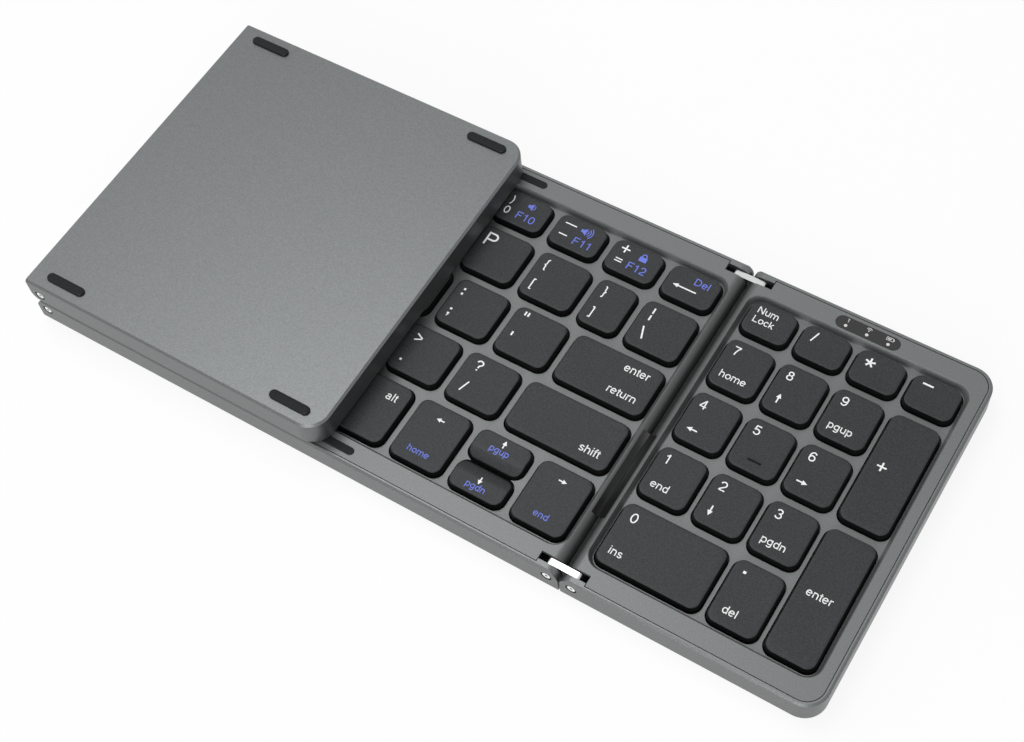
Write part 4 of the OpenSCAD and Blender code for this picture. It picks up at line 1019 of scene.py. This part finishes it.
for node, panel in (("mid_hinge_pins", MIDDLE), ("pad_hinge_pins", PAD), ("left_hinge_pins", LEFT)):
    pins = [pin(low, high, 1 if low[1] > 0 else -1) for low, high in solids_of(node, panel)]
    points, faces, marks = join_parts(pins)
    piece = add_piece("turned_" + node, points, faces, [PIN_STEEL, SEAM_RUBBER_AND_SHADE], panel, face_material=marks,
                      slot="steel", smooth=False)
    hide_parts(node)


# Status window: a pale dot over each light, with a small sign beside it

def battery_sign():
    """Outline of a battery with its tip and a bar of charge."""
    return join(box_mark(-1.05, 0, 0.8, 0.15), box_mark(-1.05, 0.83, 0.8, 0.98), box_mark(-1.05, 0.15, -0.9, 0.83),
                box_mark(0.65, 0.15, 0.8, 0.83), box_mark(0.8, 0.3, 1.0, 0.68), box_mark(-0.7, 0.33, 0.15, 0.65))


def wireless_sign():
    """A dot under two arcs."""
    return join(band(0, 0.1, POLE, 0.16, 0, 360, 13), band(0, 0.1, 0.4, 0.56, 40, 140),
                band(0, 0.1, 0.8, 0.96, 40, 140))


def one_sign():
    """The figure 1, about its middle."""
    points, faces = letters("1")
    return points * ONE_CAP - [0.2, 0], faces


LIGHTS_X, LIGHT_Y, LIGHT_R = (26.6, 32.2, 37.8), 43.65, 0.42
SIGN_Y, ONE_CAP = 44.75, 1.15
window_parts = []
for x, (points, faces) in zip(LIGHTS_X, (one_sign(), wireless_sign(), battery_sign())):
    spot_points, spot_faces = band(0, 0, POLE, LIGHT_R, 0, 360, 25)
    window_parts += [(spot_points + [x, LIGHT_Y], spot_faces), (points + [x, SIGN_Y], faces)]
points, faces = join(*window_parts)
add_piece("window_marks", np.c_[points, np.full(len(points), LEGEND_LIFT)], faces, [GREY_INK], PAD, slot="window",
          smooth=False)


# Stage, lamps and camera

def seen_directly(tree):
    """1 for camera, glossy and transmission rays, otherwise 0."""
    path = tree.nodes.new("ShaderNodeLightPath")
    total = path.outputs["Is Camera Ray"]
    for name in ("Is Glossy Ray", "Is Transmission Ray"):
        larger = tree.nodes.new("ShaderNodeMath")
        larger.operation = "MAXIMUM"
        tree.links.new(total, larger.inputs[0])
        tree.links.new(path.outputs[name], larger.inputs[1])
        total = larger.outputs[0]
    return total


def add_floor():
    """Pale floor. Rays that see it directly get mostly white and a share of its real shade,
    so it keeps the object's shadow."""
    s = FLOOR_HALF
    mesh = bpy.data.meshes.new("floor")
    mesh.from_pydata([(-s, -s, 0), (s, -s, 0), (s, s, 0), (-s, s, 0)], [], [(0, 1, 2, 3)])
    f = Finish("pale_floor", (0.9, 0.9, 0.9, 1), 0.9, Specular_IOR_Level=0.1)
    tree = f.tree
    white, mix, share = (tree.nodes.new("ShaderNode" + kind) for kind in ("Emission", "MixShader", "Math"))
    share.operation = "MULTIPLY"
    share.inputs[1].default_value = FLOOR_WHITE
    tree.links.new(seen_directly(tree), share.inputs[0])
    tree.links.new(share.outputs[0], mix.inputs[0])
    tree.links.new(f.shader.outputs[0], mix.inputs[1])
    tree.links.new(white.outputs[0], mix.inputs[2])
    tree.links.new(mix.outputs[0], tree.nodes["Material Output"].inputs["Surface"])
    mesh.materials.append(f.material)
    floor = bpy.data.objects.new("floor", mesh)
    bpy.context.scene.collection.objects.link(floor)
    floor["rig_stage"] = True


def add_lamp(name, place, aim, size, power):
    """Square soft light at a place, turned to what it aims at."""
    lamp = bpy.data.lights.new(name, "AREA")
    lamp.shape, lamp.size, lamp.energy = "SQUARE", size, power
    holder = bpy.data.objects.new(name, lamp)
    bpy.context.scene.collection.objects.link(holder)
    holder.location = place
    holder.rotation_mode = "QUATERNION"
    holder.rotation_quaternion = (Vector(aim) - Vector(place)).to_track_quat("-Z", "Y")


def add_world():
    """White for rays that see it directly. As a light it is soft, brighter from the front left than
    from the rear right: its strength follows how far a direction leans to SKY_LEAN."""
    world = bpy.data.worlds.new("studio")
    bpy.context.scene.world = world
    world.use_nodes = True
    tree = world.node_tree
    lean = tree.nodes.new("ShaderNodeVectorMath")
    lean.operation = "DOT_PRODUCT"
    lean.inputs[1].default_value = Vector(SKY_LEAN).normalized()
    tree.links.new(tree.nodes.new("ShaderNodeTexCoord").outputs["Generated"], lean.inputs[0])
    light = tree.nodes.new("ShaderNodeMapRange")
    for socket, value in zip(("From Min", "From Max", "To Min", "To Max"), SKY_RANGE + SKY_STRENGTH):
        light.inputs[socket].default_value = value
    tree.links.new(lean.outputs["Value"], light.inputs["Value"])
    strength = tree.nodes.new("ShaderNodeMix")
    strength.inputs["B"].default_value = 1.0
    tree.links.new(seen_directly(tree), strength.inputs["Factor"])
    tree.links.new(light.outputs["Result"], strength.inputs["A"])
    background = tree.nodes["Background"]
    background.inputs["Color"].default_value = (1, 1, 1, 1)
    tree.links.new(strength.outputs["Result"], background.inputs["Strength"])


def add_camera():
    """Camera at the photograph's place. Azimuth and elevation give the way it looks, and roll turns it about
    that way. Right, up and back are the columns of its turn."""
    data = bpy.data.cameras.new("camera")
    data.sensor_width, data.lens = 36, CAMERA_LENS
    data.clip_start, data.clip_end = CAMERA_CLIP
    camera = bpy.data.objects.new("camera", data)
    bpy.context.scene.collection.objects.link(camera)
    azimuth, elevation, roll = (math.radians(a) for a in CAMERA_ANGLES)
    level = math.cos(elevation)
    forward = Vector((-math.sin(azimuth) * level, math.cos(azimuth) * level, -math.sin(elevation)))
    right = forward.cross(Vector((0, 0, 1))).normalized()
    up = right.cross(forward)
    turned_right = right * math.cos(roll) + up * math.sin(roll)
    turned_up = up * math.cos(roll) - right * math.sin(roll)
    camera.matrix_world = Matrix.Translation(Vector(CAMERA_PLACE) * MM) @ Matrix(
        (turned_right, turned_up, -forward)).transposed().to_4x4()
    bpy.context.scene.camera = camera


CAMERA_LENS = 59.55
CAMERA_CLIP = (0.01, 20)
CAMERA_PLACE = (140.25, -173.35, 362.2)
CAMERA_ANGLES = (38.51, 58.96, -8.06)
FLOOR_HALF, FLOOR_WHITE = 4.0, 0.87
SKY_LEAN = (-0.5, -0.62, 0.6)
SKY_RANGE, SKY_STRENGTH = (-0.2, 1.0), (0.06, 1.1)
LAMPS = (("soft_box", (-0.3, 0.12, 0.95), (-0.02, 0, 0), 0.5, 3.4),
         ("front_fill", (0.25, -0.9, 0.35), (0, 0, 0), 0.6, 4))

add_floor()
add_world()
for lamp in LAMPS:
    add_lamp(*lamp)
add_camera()
bpy.context.scene.view_settings.view_transform = "Standard"

low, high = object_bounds()
